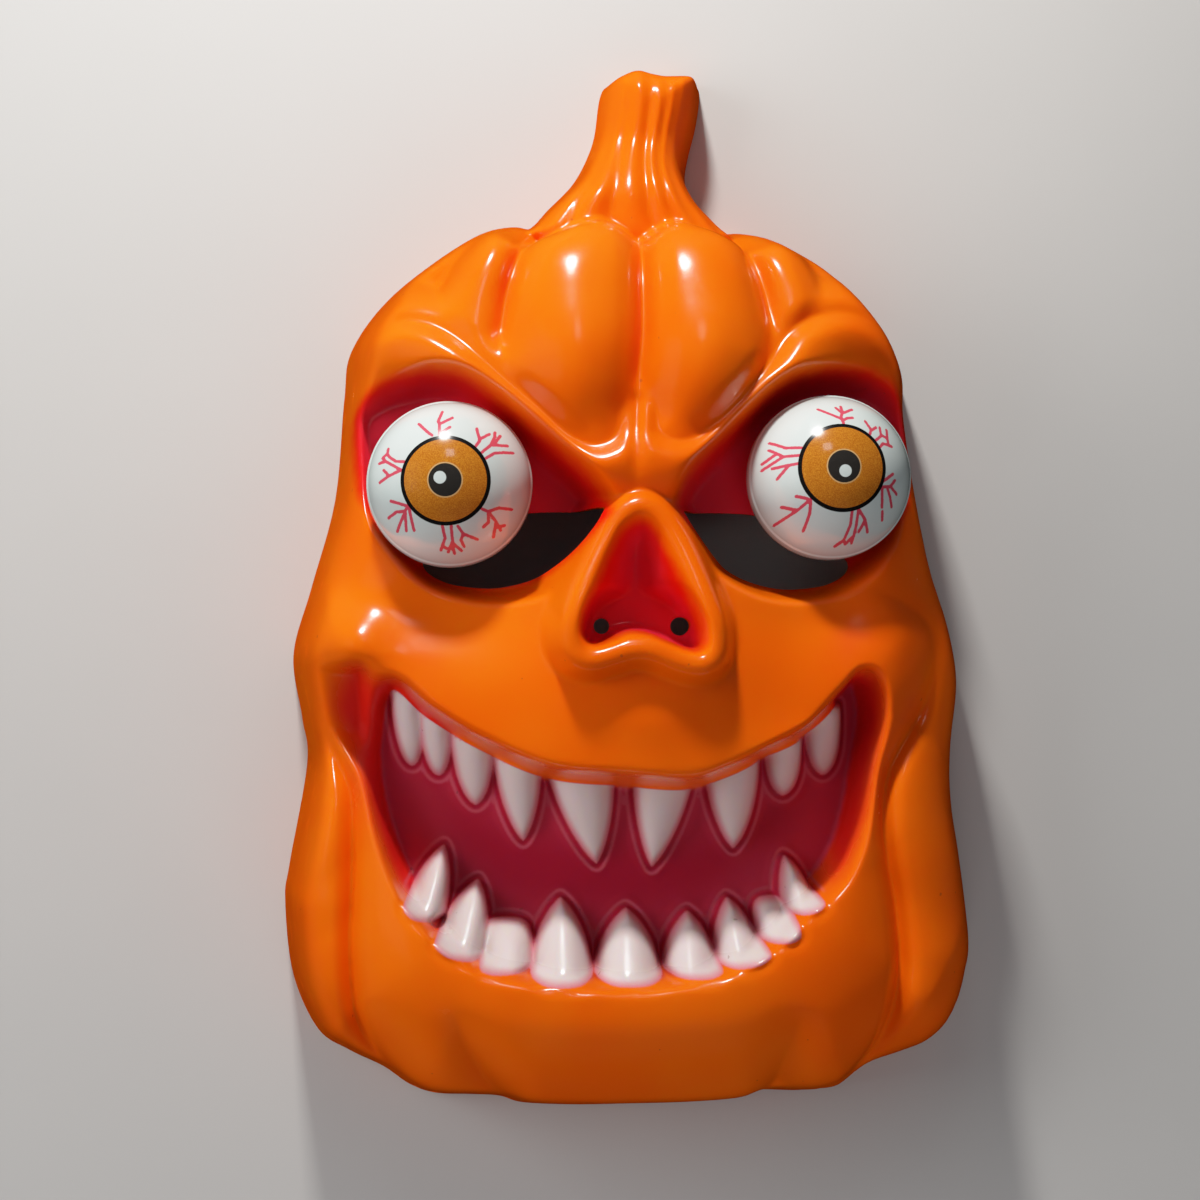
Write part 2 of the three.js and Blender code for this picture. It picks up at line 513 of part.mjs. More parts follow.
// A flat triangle net that is rebuilt around each new point, kept free of long thin triangles
class Net {
  constructor(size) {
    this.points = [[-size, -size], [size, -size], [0, size]];
    this.triangles = [this.triangle(0, 1, 2)];
  }

  triangle(a, b, c) {
    const [[ax, ay], [bx, by], [cx, cy]] = [this.points[a], this.points[b], this.points[c]];
    const [ux, uy, vx, vy] = [bx - ax, by - ay, cx - ax, cy - ay];
    const doubleArea = 2 * (ux * vy - uy * vx);
    const [u2, v2] = [ux * ux + uy * uy, vx * vx + vy * vy];
    const [px, py] = [(vy * u2 - uy * v2) / doubleArea, (ux * v2 - vx * u2) / doubleArea];
    return { corners: [a, b, c], x: ax + px, y: ay + py, radius2: px * px + py * py };
  }

  insert(x, y) {
    const added = this.points.push([x, y]) - 1;
    const kept = [];
    const edges = new Map();
    this.triangles.forEach((triangle) => {
      const far = (triangle.x - x) ** 2 + (triangle.y - y) ** 2 >= triangle.radius2;
      if (far) {
        kept.push(triangle);
        return;
      }
      const [a, b, c] = triangle.corners;
      [[a, b], [b, c], [c, a]].forEach(([from, to]) => {
        const back = `${to}_${from}`;
        if (!edges.delete(back)) edges.set(`${from}_${to}`, [from, to]);
      });
    });
    edges.forEach(([from, to]) => kept.push(this.triangle(from, to, added)));
    this.triangles = kept;
    return added;
  }
}

// Corners along the rim, closer together round the stem
function rimPoints() {
  const route = RIM_ROUTE.map(({ points, step }) => points.map(([x, y]) => [x, y, step])).flat();
  const fine = curve(route, true, GRID_STEP / 2);
  const rim = [];
  let travelled = 1;
  fine.forEach(([x, y, step], i) => {
    const [px, py] = fine[(i + fine.length - 1) % fine.length];
    travelled += Math.hypot(x - px, y - py) / step;
    if (travelled >= 1) {
      rim.push([x, y]);
      travelled = 0;
    }
  });
  return rim;
}

// Moves a closed outline inwards by a distance, square to its two edges at each corner
function insetOutline(outline, distance) {
  const count = outline.length;
  const sharpest = 0.6;
  return outline.map((point, i) => {
    const [before, after] = [outline[(i + count - 1) % count], outline[(i + 1) % count]];
    const a = new THREE.Vector2(point[0] - before[0], point[1] - before[1]).normalize();
    const b = new THREE.Vector2(after[0] - point[0], after[1] - point[1]).normalize();
    const inward = new THREE.Vector2(-a.y - b.y, a.x + b.x).normalize();
    const miter = distance / Math.max(inward.x * -a.y + inward.y * a.x, sharpest);
    return [point[0] + inward.x * miter, point[1] + inward.y * miter];
  });
}

// The place in a triangle where the relief stands farthest off it, a gap away from any corner
function worstPoint(net, triangle, allowed) {
  const [a, b, c] = triangle.corners.map((k) => net.points[k]);
  const [za, zb, zc] = [heightAt(...a), heightAt(...b), heightAt(...c)];
  const area = (b[0] - a[0]) * (c[1] - a[1]) - (b[1] - a[1]) * (c[0] - a[0]);
  let worst = { error: 0 };
  overWindow(gridWindow([a, b, c], 0), (n, x, y) => {
    if (!allowed[n]) return;
    const wb = ((x - a[0]) * (c[1] - a[1]) - (y - a[1]) * (c[0] - a[0])) / area;
    const wc = ((b[0] - a[0]) * (y - a[1]) - (b[1] - a[1]) * (x - a[0])) / area;
    if (wb < 0 || wc < 0 || wb + wc > 1) return;
    const clearance = Math.min(...[a, b, c].map((p) => Math.hypot(p[0] - x, p[1] - y)));
    if (clearance < FACET_GAP) return;
    const slopeX = (RELIEF[n + 1] - RELIEF[n - 1]) / (2 * GRID_STEP);
    const slopeY = (RELIEF[n + GRID.columns] - RELIEF[n - GRID.columns]) / (2 * GRID_STEP);
    const flat = za + wb * (zb - za) + wc * (zc - za);
    const error = Math.abs(RELIEF[n] - flat) / Math.hypot(1, slopeX, slopeY);
    if (error > worst.error) worst = { x, y, error };
  });
  return worst;
}

// Fills the rim's outline with points, closest where the relief bends most
function faceNet(rim, shoulder) {
  const net = new Net(10 * GRID.rows);
  [...rim, ...shoulder].forEach(([x, y]) => net.insert(x, y));
  const room = depthInside(rim, ROLL_REACH);
  const allowed = room.map((depth) => (depth > SHOULDER_INSET + 2 * GRID_STEP ? 1 : 0));
  for (let round = 0; round < REFINE_ROUNDS; round += 1) {
    const left = FACE_POINTS - net.points.length;
    const found = net.triangles.map((triangle) => worstPoint(net, triangle, allowed));
    const wanted = found.filter(({ error }) => error > FACET_TOLERANCE);
    wanted.sort((p, q) => q.error - p.error);
    const share = Math.ceil(wanted.length / 2);
    const added = [];
    wanted.slice(0, Math.min(share, left)).forEach(({ x, y }) => {
      const apart = added.every((p) => Math.hypot(p[0] - x, p[1] - y) > FACET_GAP);
      if (apart) added.push([x, y]);
    });
    // A small fixed wobble keeps four points from lying on one circle
    added.forEach(([x, y]) => {
      const [across, along] = [Math.sin(7 * x + 3 * y), Math.cos(5 * x - 4 * y)];
      net.insert(x + FACET_WOBBLE * across, y + FACET_WOBBLE * along);
    });
  }
  return net;
}

// How far a corner moves so that all the faces round it move in by the wall's thickness
function wallShift(normals) {
  const firmness = 0.03;
  const pull = new THREE.Vector3();
  const spread = new THREE.Matrix3().multiplyScalar(firmness);
  spread.elements[8] = firmness;
  normals.forEach((normal) => {
    const share = 1 / normals.length;
    pull.addScaledVector(normal, share);
    const parts = normal.toArray();
    parts.forEach((p, i) => parts.forEach((q, j) => {
      spread.elements[i + 3 * j] += share * p * q;
    }));
  });
  return pull.applyMatrix3(spread.invert()).multiplyScalar(-WALL);
}

const flatArea = (a, b, c) => (b.x - a.x) * (c.y - a.y) - (b.y - a.y) * (c.x - a.x);

// Where the inner face would fold over itself, its corners move more nearly straight down
function unfold(outer, inner, triangles, fixedCount) {
  const rounds = 4;
  const narrowest = 0.3;
  for (let round = 0; round < rounds; round += 1) {
    triangles.forEach((corners) => {
      const [before, after] = [outer, inner].map((side) => flatArea(...corners.map((k) => side[k])));
      if (after > narrowest * before) return;
      corners.filter((k) => k >= fixedCount).forEach((k) => {
        inner[k].x = (inner[k].x + outer[k].x) / 2;
        inner[k].y = (inner[k].y + outer[k].y) / 2;
      });
    });
  }
}

function solid(positions, triangles) {
  const mesh = new wasm.Mesh({
    numProp: 3,
    vertProperties: new Float32Array(positions),
    triVerts: new Uint32Array(triangles),
  });
  return new wasm.Manifold(mesh);
}

function solidOf(geometry) {
  geometry.deleteAttribute('normal');
  geometry.deleteAttribute('uv');
  const merged = mergeVertices(geometry);
  return solid(merged.attributes.position.array, merged.index.array);
}

// A straight cutter that passes right through the sheet
function cutter(outline) {
  const shape = new THREE.Shape(outline.map(([x, y]) => new THREE.Vector2(x, y)));
  const geometry = new THREE.ExtrudeGeometry(shape, { depth: CUTTER.depth, bevelEnabled: false });
  geometry.translate(0, 0, CUTTER.from);
  return solidOf(geometry);
}

function ringOf([cx, cy, radius]) {
  return Array.from({ length: NOSTRIL_SIDES }, (_, k) => {
    const angle = (2 * Math.PI * k) / NOSTRIL_SIDES;
    return [cx + radius * Math.cos(angle), cy + radius * Math.sin(angle)];
  });
}

// The triangles of the net that lie within the rim
function trianglesWithin(net, rim) {
  return net.triangles.map(({ corners }) => corners).filter((corners) => {
    const [x, y] = [0, 1].map((axis) => corners.reduce((sum, k) => sum + net.points[k][axis] / 3, 0));
    return isBetween(crossingsAt(rim, y), x);
  });
}

function faceNormals(corners, triangles) {
  const normals = corners.map(() => []);
  triangles.forEach((triangle) => {
    const [a, b, c] = triangle.map((k) => corners[k]);
    const normal = b.clone().sub(a).cross(c.clone().sub(a)).normalize();
    triangle.forEach((k) => normals[k].push(normal));
  });
  return normals;
}

// The moulded sheet: outer face, inner face and the flat rim between them
function shellSolid() {
  const rim = rimPoints();
  const net = faceNet(rim, insetOutline(rim, SHOULDER_INSET));
  const frameCorners = 3;
  const triangles = trianglesWithin(net, rim).map((corners) => corners.map((k) => k - frameCorners));
  const outer = net.points.slice(frameCorners).map(([x, y], i) => {
    return new THREE.Vector3(x, y, i < rim.length ? 0 : heightAt(x, y));
  });
  const normals = faceNormals(outer, triangles);
  const innerRim = insetOutline(rim, WALL * Math.hypot(1, 1 / SIDE_WALL.slope));
  const inner = outer.map((corner, i) => {
    if (i < rim.length) return new THREE.Vector3(innerRim[i][0], innerRim[i][1], 0);
    return corner.clone().add(wallShift(normals[i]));
  });
  unfold(outer, inner, triangles, rim.length);
  const shift = outer.length;
  const underside = rim.flatMap((_, i) => {
    const next = (i + 1) % rim.length;
    return [next, i, i + shift, next, i + shift, next + shift];
  });
  const positions = [...outer, ...inner].flatMap((corner) => corner.toArray());
  const inside = triangles.flatMap(([a, b, c]) => [a + shift, c + shift, b + shift]);
  return solid(positions, [...triangles.flat(), ...inside, ...underside]);
}

function maskGeometry() {
  const mirrored = SLOT.map(([x, y]) => [-x, y]);
  const slots = [SLOT, mirrored].map((outline) => curve(outline, true, CUTTER_STEP));
  const holes = [...slots, ...NOSTRILS.map(ringOf)];
  const shell = holes.reduce((body, hole) => body.subtract(cutter(hole)), shellSolid());
  const mesh = shell.getMesh();
  const geometry = new THREE.BufferGeometry();
  geometry.setAttribute('position', new THREE.BufferAttribute(mesh.vertProperties, 3));
  geometry.setIndex(new THREE.BufferAttribute(mesh.triVerts, 1));
  return geometry;
}

// A ball of two half shells: the front one is a little smaller and leaves a seam line
function eyeGeometry() {
  const arc = (radius, from, to, pieces) => Array.from({ length: pieces + 1 }, (_, k) => {
    const angle = from + ((to - from) * k) / pieces;
    return new THREE.Vector2(radius * Math.cos(angle), radius * Math.sin(angle));
  });
  const backStart = -Math.asin(EYE.back / EYE.radius);
  const front = EYE.radius - EYE.step;
  const back = arc(EYE.radius, backStart, Math.asin(EYE.seam / EYE.radius), EYE_BACK_ARCS);
  const dome = arc(front, Math.asin(EYE.seam / front), Math.PI / 2, EYE_FRONT_ARCS);
  dome.at(-1).x = 0;
  const profile = [new THREE.Vector2(0, -EYE.back), ...back, ...dome];
  const geometry = new THREE.LatheGeometry(profile, EYE_SIDES);
  geometry.rotateX(Math.PI / 2);
  return geometry;
}

function part(name, geometry, color, roughness) {
  const material = new THREE.MeshStandardMaterial({ color, roughness, metalness: 0 });
  const mesh = new THREE.Mesh(geometry, material);
  mesh.name = name;
  return mesh;
}

const group = new THREE.Group();
group.add(part('mask_shell', maskGeometry(), 0xf0640c, 0.25));
Object.entries(EYES).forEach(([side, [x, y]]) => {
  const eye = part(`${side}_eyeball`, eyeGeometry(), 0xf2f1ec, 0.15);
  eye.position.set(x, y, EYE.height);
  group.add(eye);
});

// The origin is the middle of the rim
const box = new THREE.Box3().setFromObject(group);
group.position.set(-(box.min.x + box.max.x) / 2, -(box.min.y + box.max.y) / 2, 0);
group.updateMatrixWorld(true);

export default group;
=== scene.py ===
"""Finished look of a moulded pumpkin skull mask that lies face up on its back rim.

The mask is one glossy orange sheet with airbrushed paint. Two printed ball eyes stand in its sockets.
The relief is worked out in millimetres from the middle of the nose bridge and moved into the frame.
"""

import logging
import math
from collections.abc import Sequence
from dataclasses import dataclass, field
from enum import Enum
from functools import reduce

import bpy
import numpy as np
from mathutils import Matrix, Vector
from mathutils.geometry import delaunay_2d_cdt


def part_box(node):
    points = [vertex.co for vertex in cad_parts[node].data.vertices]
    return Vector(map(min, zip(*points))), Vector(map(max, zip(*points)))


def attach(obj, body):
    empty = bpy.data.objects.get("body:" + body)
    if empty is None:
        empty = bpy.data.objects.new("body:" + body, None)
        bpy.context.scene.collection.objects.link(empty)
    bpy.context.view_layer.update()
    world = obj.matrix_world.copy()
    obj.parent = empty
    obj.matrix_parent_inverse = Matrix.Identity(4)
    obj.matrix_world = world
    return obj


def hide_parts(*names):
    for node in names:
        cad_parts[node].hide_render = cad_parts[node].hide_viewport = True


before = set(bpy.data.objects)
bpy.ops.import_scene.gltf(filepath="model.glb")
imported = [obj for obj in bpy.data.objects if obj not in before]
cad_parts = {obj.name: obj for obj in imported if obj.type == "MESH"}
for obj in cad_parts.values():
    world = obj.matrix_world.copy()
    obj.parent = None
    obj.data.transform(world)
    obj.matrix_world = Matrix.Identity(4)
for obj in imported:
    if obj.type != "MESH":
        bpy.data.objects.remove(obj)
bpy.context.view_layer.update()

LOG = logging.getLogger("pumpkin_skull_mask")
MM = 0.001
BODY = "root"
Point = tuple[float, ...]
Array = np.ndarray

HEAD_RIGHT = [
    (0, -169.8), (18, -169.5), (33, -168.3), (42, -165.8), (56, -166), (66, -164.8), (76, -158),
    (86, -154.5), (95, -151), (103, -144.5), (108, -136), (111, -126), (112.7, -114), (110, -89.5),
    (107.3, -70), (107.3, -54), (109.4, -32), (106.8, -14), (100.8, 7), (95.8, 33.5), (92.7, 55),
    (92, 70), (84, 87), (66, 106), (41, 119),
]
HEAD_TOP = [(25, 122.5), (0, 123), (-25, 123)]
HEAD_LEFT = [
    (-41, 120.5), (-56, 115), (-79, 97.5), (-92.3, 79), (-94.8, 62), (-97.5, 29), (-105, 0),
    (-110.8, -22.5), (-107.8, -43), (-106, -58), (-111.5, -91), (-112.8, -103), (-110, -126.5),
    (-101.8, -144.5), (-91.5, -151.5), (-80.5, -156.8), (-72, -162.6), (-63.5, -165.6),
    (-51.5, -166.2), (-42.5, -166.8), (-35, -169), (-18.5, -169.9),
]
STEM_RIGHT = [
    (30, 120.5), (23.6, 127.4), (20.2, 134), (19.2, 139), (20.3, 146), (22.8, 156), (24.2, 165.7),
]
STEM_CUT = [(23.6, 170), (20, 172.3), (10, 172.3), (1.6, 174), (-6.6, 170.4)]
STEM_LEFT = [
    (-9.6, 166), (-11.6, 152.2), (-14.6, 143.7), (-18.3, 136.9), (-22, 132.5), (-27.2, 127.3),
    (-34, 120),
]
STEM_ROOT = [(-40, 112), (-20, 100), (20, 100), (37, 112)]


def clip(value: Array | float, low: float, high: float) -> Array:
    """Keeps values between two limits."""
    return np.clip(value, low, high)


def ease(start: float, end: float, value: Array | float) -> Array:
    """Smooth step from 0 at start to 1 at end."""
    t = clip((value - start) / (end - start), 0, 1)
    return t * t * (3 - 2 * t)


def soft_max(a: Array, b: Array, round_by: Array | float) -> Array:
    """The higher of two heights, rounded where they meet."""
    return 0.5 * (a + b + np.hypot(a - b, round_by))


def soft_min(a: Array, b: Array, round_by: Array | float) -> Array:
    """The lower of two heights, rounded where they meet."""
    return 0.5 * (a + b - np.hypot(a - b, round_by))


def smooth_line(points: Sequence[Point], closed: bool, spacing: float = 2.0) -> Array:
    """Runs a smooth curve through points, which may carry a third value along.

    Args:
        points: corner points, each x, y and perhaps one more value.
        closed: whether the last point joins the first.
        spacing: longest distance between points of the result, in mm.

    Returns:
        The points of the curve, one row each.
    """
    p = np.asarray(points, float)
    if closed:
        ends = np.vstack([p[-1], p, p[:2]])
    else:
        ends = np.vstack([2 * p[0] - p[1], p, 2 * p[-1] - p[-2]])
    line = []
    for a, b, c, d in zip(ends, ends[1:], ends[2:], ends[3:]):
        pieces = max(1, math.ceil(np.hypot(*(c - b)[:2]) / spacing))
        t = (np.arange(pieces) / pieces)[:, None]
        bend = (2 * a - 5 * b + 4 * c - d) * t**2 + (3 * b - a - 3 * c + d) * t**3
        line.append(0.5 * (2 * b + (c - a) * t + bend))
    if not closed:
        line.append(p[-1:])
    return np.vstack(line)


def even_loop(points: Sequence[Point], spacing: float) -> Array:
    """Makes a closed smooth outline with points an even distance apart.

    Args:
        points: corner points in mm.
        spacing: distance between points of the result, in mm.

    Returns:
        The points of the outline, one row each.
    """
    line = smooth_line(points, True, spacing / 4)[:, :2]
    line = np.vstack([line, line[:1]])
    run = np.concatenate([[0], np.cumsum(np.hypot(*np.diff(line, axis=0).T))])
    count = max(12, round(run[-1] / spacing))
    stations = np.linspace(0, run[-1], count, endpoint=False)
    return np.column_stack([np.interp(stations, run, line[:, axis]) for axis in (0, 1)])


def circle(x: float, y: float, radius: float, sides: int) -> Array:
    """A round outline, anticlockwise."""
    angle = np.arange(sides) * 2 * math.pi / sides
    return np.column_stack([x + radius * np.cos(angle), y + radius * np.sin(angle)])


def signed_area(loop: Array) -> float:
    """Area of an outline, positive where it runs anticlockwise."""
    x, y = loop.T
    return 0.5 * float(np.sum(x * np.roll(y, -1) - np.roll(x, -1) * y))


def inset(loop: Array, distance: float, sharpest: float = 0.6) -> Array:
    """Moves an anticlockwise outline inwards, square to its edges.

    Args:
        loop: points of the outline.
        distance: how far each edge moves, in mm.
        sharpest: least share that keeps sharp corners from moving too far.

    Returns:
        The moved points.
    """
    before = loop - np.roll(loop, 1, axis=0)
    after = np.roll(loop, -1, axis=0) - loop
    before /= np.linalg.norm(before, axis=1)[:, None]
    after /= np.linalg.norm(after, axis=1)[:, None]
    inward = np.column_stack([-(before + after)[:, 1], (before + after)[:, 0]])
    inward /= np.linalg.norm(inward, axis=1)[:, None]
    square = np.column_stack([-before[:, 1], before[:, 0]])
    return loop + inward * (distance / np.maximum(np.sum(inward * square, axis=1), sharpest))[:, None]


def points_inside(loop: Array, points: Array) -> Array:
    """Tells which points lie inside an outline.

    Args:
        loop: points of the outline.
        points: points to be tested.

    Returns:
        True for each point inside.
    """
    inside = np.zeros(len(points), bool)
    x, y = points.T
    for a, b in zip(loop, np.roll(loop, -1, axis=0)):
        crosses = (a[1] > y) != (b[1] > y)
        if crosses.any():
            inside ^= crosses & (x < (b[0] - a[0]) * (y - a[1]) / (b[1] - a[1] + 1e-12) + a[0])
    return inside


@dataclass(frozen=True)
class Ramp:
    """A value that runs smoothly from low to high between two places."""

    start: float
    end: float
    low: float = 0
    high: float = 1

    def at(self, place: Array) -> Array:
        """The value at each place."""
        return self.low + (self.high - self.low) * ease(self.start, self.end, place)


@dataclass(frozen=True)
class Cut:
    """How a groove is cut: its reach in mm, how sharp it is, and its share of the depth."""

    reach: float
    sharpness: float
    share: float = 1


@dataclass(frozen=True)
class Roll:
    """How a raised roll is rounded: its tightness and how softly it joins."""

    tightness: float
    join: float


@dataclass(frozen=True)
class Tooth:
    """One tooth: root and tip in mm, half its width, and how blunt its tip is."""

    root: Point
    tip: Point
    half: float
    blunt: float
    under_lip: float = 0.2
    foot: float = 0.16
    taper: float = 1.15
    taper_loss: float = 0.18
    least_taper: float = 0.35
    thinnest: float = 0.3
    pillow: float = 2.4
    tip_fall: float = 7
    stations: Point = (0.01, 0.05, 0.12, 0.25, 0.45, 0.65, 0.82, 0.92, 0.98)

    @property
    def lower(self) -> bool:
        """Whether the tooth stands up from the lower lip."""
        return self.root[1] < self.tip[1]

    def length(self) -> float:
        """Length from the tip to the root's end, which runs on under the upper lip."""
        return (1 if self.lower else 1 + self.under_lip) * math.dist(self.root, self.tip)

    def half_width(self, along: Array) -> Array:
        """Half the width at a share of the length from the root's end to the tip.

        Args:
            along: shares of the length.

        Returns:
            Half widths in mm. Blunt teeth keep theirs for longer, lower ones have a round foot.
        """
        along = clip(along, 0, 1)
        power = clip(self.taper - self.taper_loss * self.blunt, self.least_taper, 1)
        foot = np.sqrt(1 - clip(1 - along / self.foot, 0, 1) ** 2) if self.lower else 1
        return self.half * (1 - along**self.blunt) ** power * foot

    def directions(self) -> tuple[Array, Array]:
        """Unit directions from root to tip and square to it."""
        axis = np.subtract(self.tip, self.root) / math.dist(self.root, self.tip)
        return axis, np.array([-axis[1], axis[0]])

    def outline(self) -> Array:
        """Runs a closed smooth line round the tooth.

        Returns:
            The points of the line, one row each.
        """
        axis, side = self.directions()
        along = np.array(self.stations)
        middle = np.array(self.tip) - axis * (self.length() * (1 - along))[:, None]
        width = side * self.half_width(along)[:, None]
        edge = np.vstack([middle + width, [self.tip], (middle - width)[::-1]])
        return smooth_line(edge.tolist(), True, spacing=1.0)

    def crown(self, x: Array, y: Array) -> Array:
        """Rounds the tooth from side to side.

        Args:
            x: places across the face, in mm.
            y: places up the face, in mm.

        Returns:
            The rise at each place, from 0 at the edges to 1 along the middle.
        """
        axis, side = self.directions()
        x, y = x - self.tip[0], y - self.tip[1]
        along = clip(1 + (x * axis[0] + y * axis[1]) / self.length(), 0, 1)
        half = np.maximum(self.half_width(along), self.thinnest)
        across = np.abs(x * side[0] + y * side[1]) / half
        return np.sqrt(clip(1 - across**self.pillow, 0, 1) * (1 - along**self.tip_fall))


class Relief:
    """Heights in mm over the plane of the rim, on a square grid."""

    def __init__(self, x: float, y: float, step: float, columns: int, rows: int) -> None:
        """Lays out a flat grid.

        Args:
            x: left edge in mm.
            y: lower edge in mm.
            step: distance between nodes, in mm.
            columns: number of nodes across.
            rows: number of nodes up.
        """
        self.step = step
        self.xs = x + step * np.arange(columns)
        self.ys = y + step * np.arange(rows)
        self.x, self.y = np.meshgrid(self.xs, self.ys)
        self.height = np.zeros(self.x.shape)

    def window(self, points: Array, reach: float) -> tuple[slice, slice]:
        """Finds the part of the grid in a box round some points.

        Args:
            points: the points, one row each.
            reach: how far the box stands off them, in mm.

        Returns:
            The rows and the columns.
        """
        low, high = points[:, :2].min(0) - reach, points[:, :2].max(0) + reach
        first = np.searchsorted(self.ys, low[1]), np.searchsorted(self.xs, low[0])
        last = np.searchsorted(self.ys, high[1]), np.searchsorted(self.xs, high[0])
        return slice(first[0], last[0]), slice(first[1], last[1])

    def near_line(self, line: Array, closed: bool, reach: float) -> tuple[Array, Array]:
        """Distance to a line, up to a reach, and the line's third value there.

        Args:
            line: the line's points, one row each.
            closed: whether the last point joins the first.
            reach: distance in mm past which nothing is worked out.

        Returns:
            The distance and the value at each grid point.
        """
        square = np.full(self.height.shape, float(reach) ** 2)
        value = np.zeros(self.height.shape)
        ends = np.roll(line, -1, axis=0) if closed else line[1:]
        for a, b in zip(line, ends):
            at = self.window(np.array([a, b]), reach)
            x, y = self.xs[at[1]][None, :] - a[0], self.ys[at[0]][:, None] - a[1]
            e = (b - a)[:2]
            t = clip((x * e[0] + y * e[1]) / (e @ e + 1e-9), 0, 1)
            d = (x - t * e[0]) ** 2 + (y - t * e[1]) ** 2
            closer = d < square[at]
            square[at] = np.where(closer, d, square[at])
            if len(a) > 2:
                value[at] = np.where(closer, a[2] + t * (b[2] - a[2]), value[at])
        return np.sqrt(square), value

    def depth_inside(self, outline: Array, reach: float) -> Array:
        """Works out how deep each node lies inside an outline.

        Args:
            outline: points of the outline.
            reach: distance in mm past which nothing is worked out.

        Returns:
            Distance to the outline, positive inside it and negative outside.
        """
        toggles = np.zeros((len(self.ys), len(self.xs) + 1), int)
        for a, b in zip(outline[:, :2], np.roll(outline[:, :2], -1, axis=0)):
            low, high = sorted((a[1], b[1]))
            rows = np.arange(*np.searchsorted(self.ys, [low, high]))
            if len(rows):
                x = (b[0] - a[0]) * (self.ys[rows] - a[1]) / (b[1] - a[1]) + a[0]
                np.add.at(toggles, (rows, np.searchsorted(self.xs, x)), 1)
        inside = np.cumsum(toggles, axis=1)[:, :-1] % 2 == 1
        distance, _ = self.near_line(outline, True, reach)
        return np.where(inside, distance, -distance)

    def groove(self, points: Sequence[Point], cut: Cut) -> None:
        """Cuts a groove along points that carry its depth."""
        distance, depth = self.near_line(smooth_line(points, False), False, cut.reach)
        self.height -= cut.share * depth * (1 - distance / cut.reach) ** cut.sharpness

    def cushion(self, lines: Sequence[Sequence[Point]], reach: float, share: float) -> None:
        """Lets the surface swell like cushions between lines.

        Args:
            lines: lines whose points carry a depth.
            reach: how far from a line the surface is level again, in mm.
            share: share of the lines' depth that is taken.
        """
        drop = np.zeros(self.height.shape)
        for line in lines:
            shared = smooth_line([(x, y, share * depth) for x, y, depth in line], False)
            gap, depth = self.near_line(shared, False, reach)
            drop = np.maximum(drop, depth * (1 - np.sqrt(1 - (1 - gap / reach) ** 2)))
        self.height -= drop

    def roll(self, points: Sequence[Point], shape: Roll, reach: float = 45) -> None:
        """Raises a roll along a line.

        Args:
            points: points of the line, which carry the height of the roll's crest.
            shape: how the roll is rounded.
            reach: distance from the line past which nothing is raised, in mm.
        """
        distance, crest = self.near_line(smooth_line(points, False), False, reach)
        raised = soft_max(self.height, crest - distance**2 / shape.tightness, shape.join)
        self.height = np.where(distance < reach, raised, self.height)

    def swelling(self, places: Sequence[Point]) -> Array:
        """Adds up soft swellings.

        Args:
            places: for each one its middle x and y, its reach x and y, and its rise.

        Returns:
            The sum at each node.
        """
        return sum(
            rise * np.exp(-(((self.x - x) / reach_x) ** 2) - ((self.y - y) / reach_y) ** 2)
            for x, y, reach_x, reach_y, rise in places
        )

    def blurred(self, radius: float) -> Array:
        """Rounds every corner, as a mould does.

        Args:
            radius: about how round corners become, in mm.

        Returns:
            The rounded heights.
        """
        count = math.ceil(3 * radius / self.step)
        offsets = np.arange(-count, count + 1)
        weights = np.exp(-0.5 * (offsets * self.step / radius) ** 2)
        weights /= weights.sum()
        result = self.height
        for axis in (0, 1):
            padded = np.pad(result, [(count, count) if k == axis else (0, 0) for k in (0, 1)], "edge")
            size = result.shape[axis]
            result = sum(w * np.take(padded, range(k, k + size), axis) for k, w in enumerate(weights))
        return result

    def eroded(self, distance: float) -> Array:
        """Finds the surface that lies a distance below the relief everywhere.

        Args:
            distance: thickness between the two, in mm.

        Returns:
            The heights of that surface.
        """
        count = int(distance / self.step)
        padded = np.pad(self.height, count, "edge")
        rows, columns = self.height.shape
        lowest = np.full(self.height.shape, np.inf)
        for i in range(-count, count + 1):
            for j in range(-count, count + 1):
                rest = distance**2 - (i * i + j * j) * self.step**2
                if rest >= 0:
                    moved = padded[count + i:count + i + rows, count + j:count + j + columns]
                    lowest = np.minimum(lowest, moved - math.sqrt(rest))
        return lowest

    def sample(self, values: Array, points: Array) -> Array:
        """Reads a grid of values between its nodes.

        Args:
            values: one value for each node.
            points: places to be read, x and y in mm.

        Returns:
            The value at each place.
        """
        u = clip((points[:, 0] - self.xs[0]) / self.step, 0, len(self.xs) - 1.001)
        v = clip((points[:, 1] - self.ys[0]) / self.step, 0, len(self.ys) - 1.001)
        i, j = v.astype(int), u.astype(int)
        u, v = u - j, v - i
        low = values[i, j] * (1 - u) + values[i, j + 1] * u
        high = values[i + 1, j] * (1 - u) + values[i + 1, j + 1] * u
        return low * (1 - v) + high * v

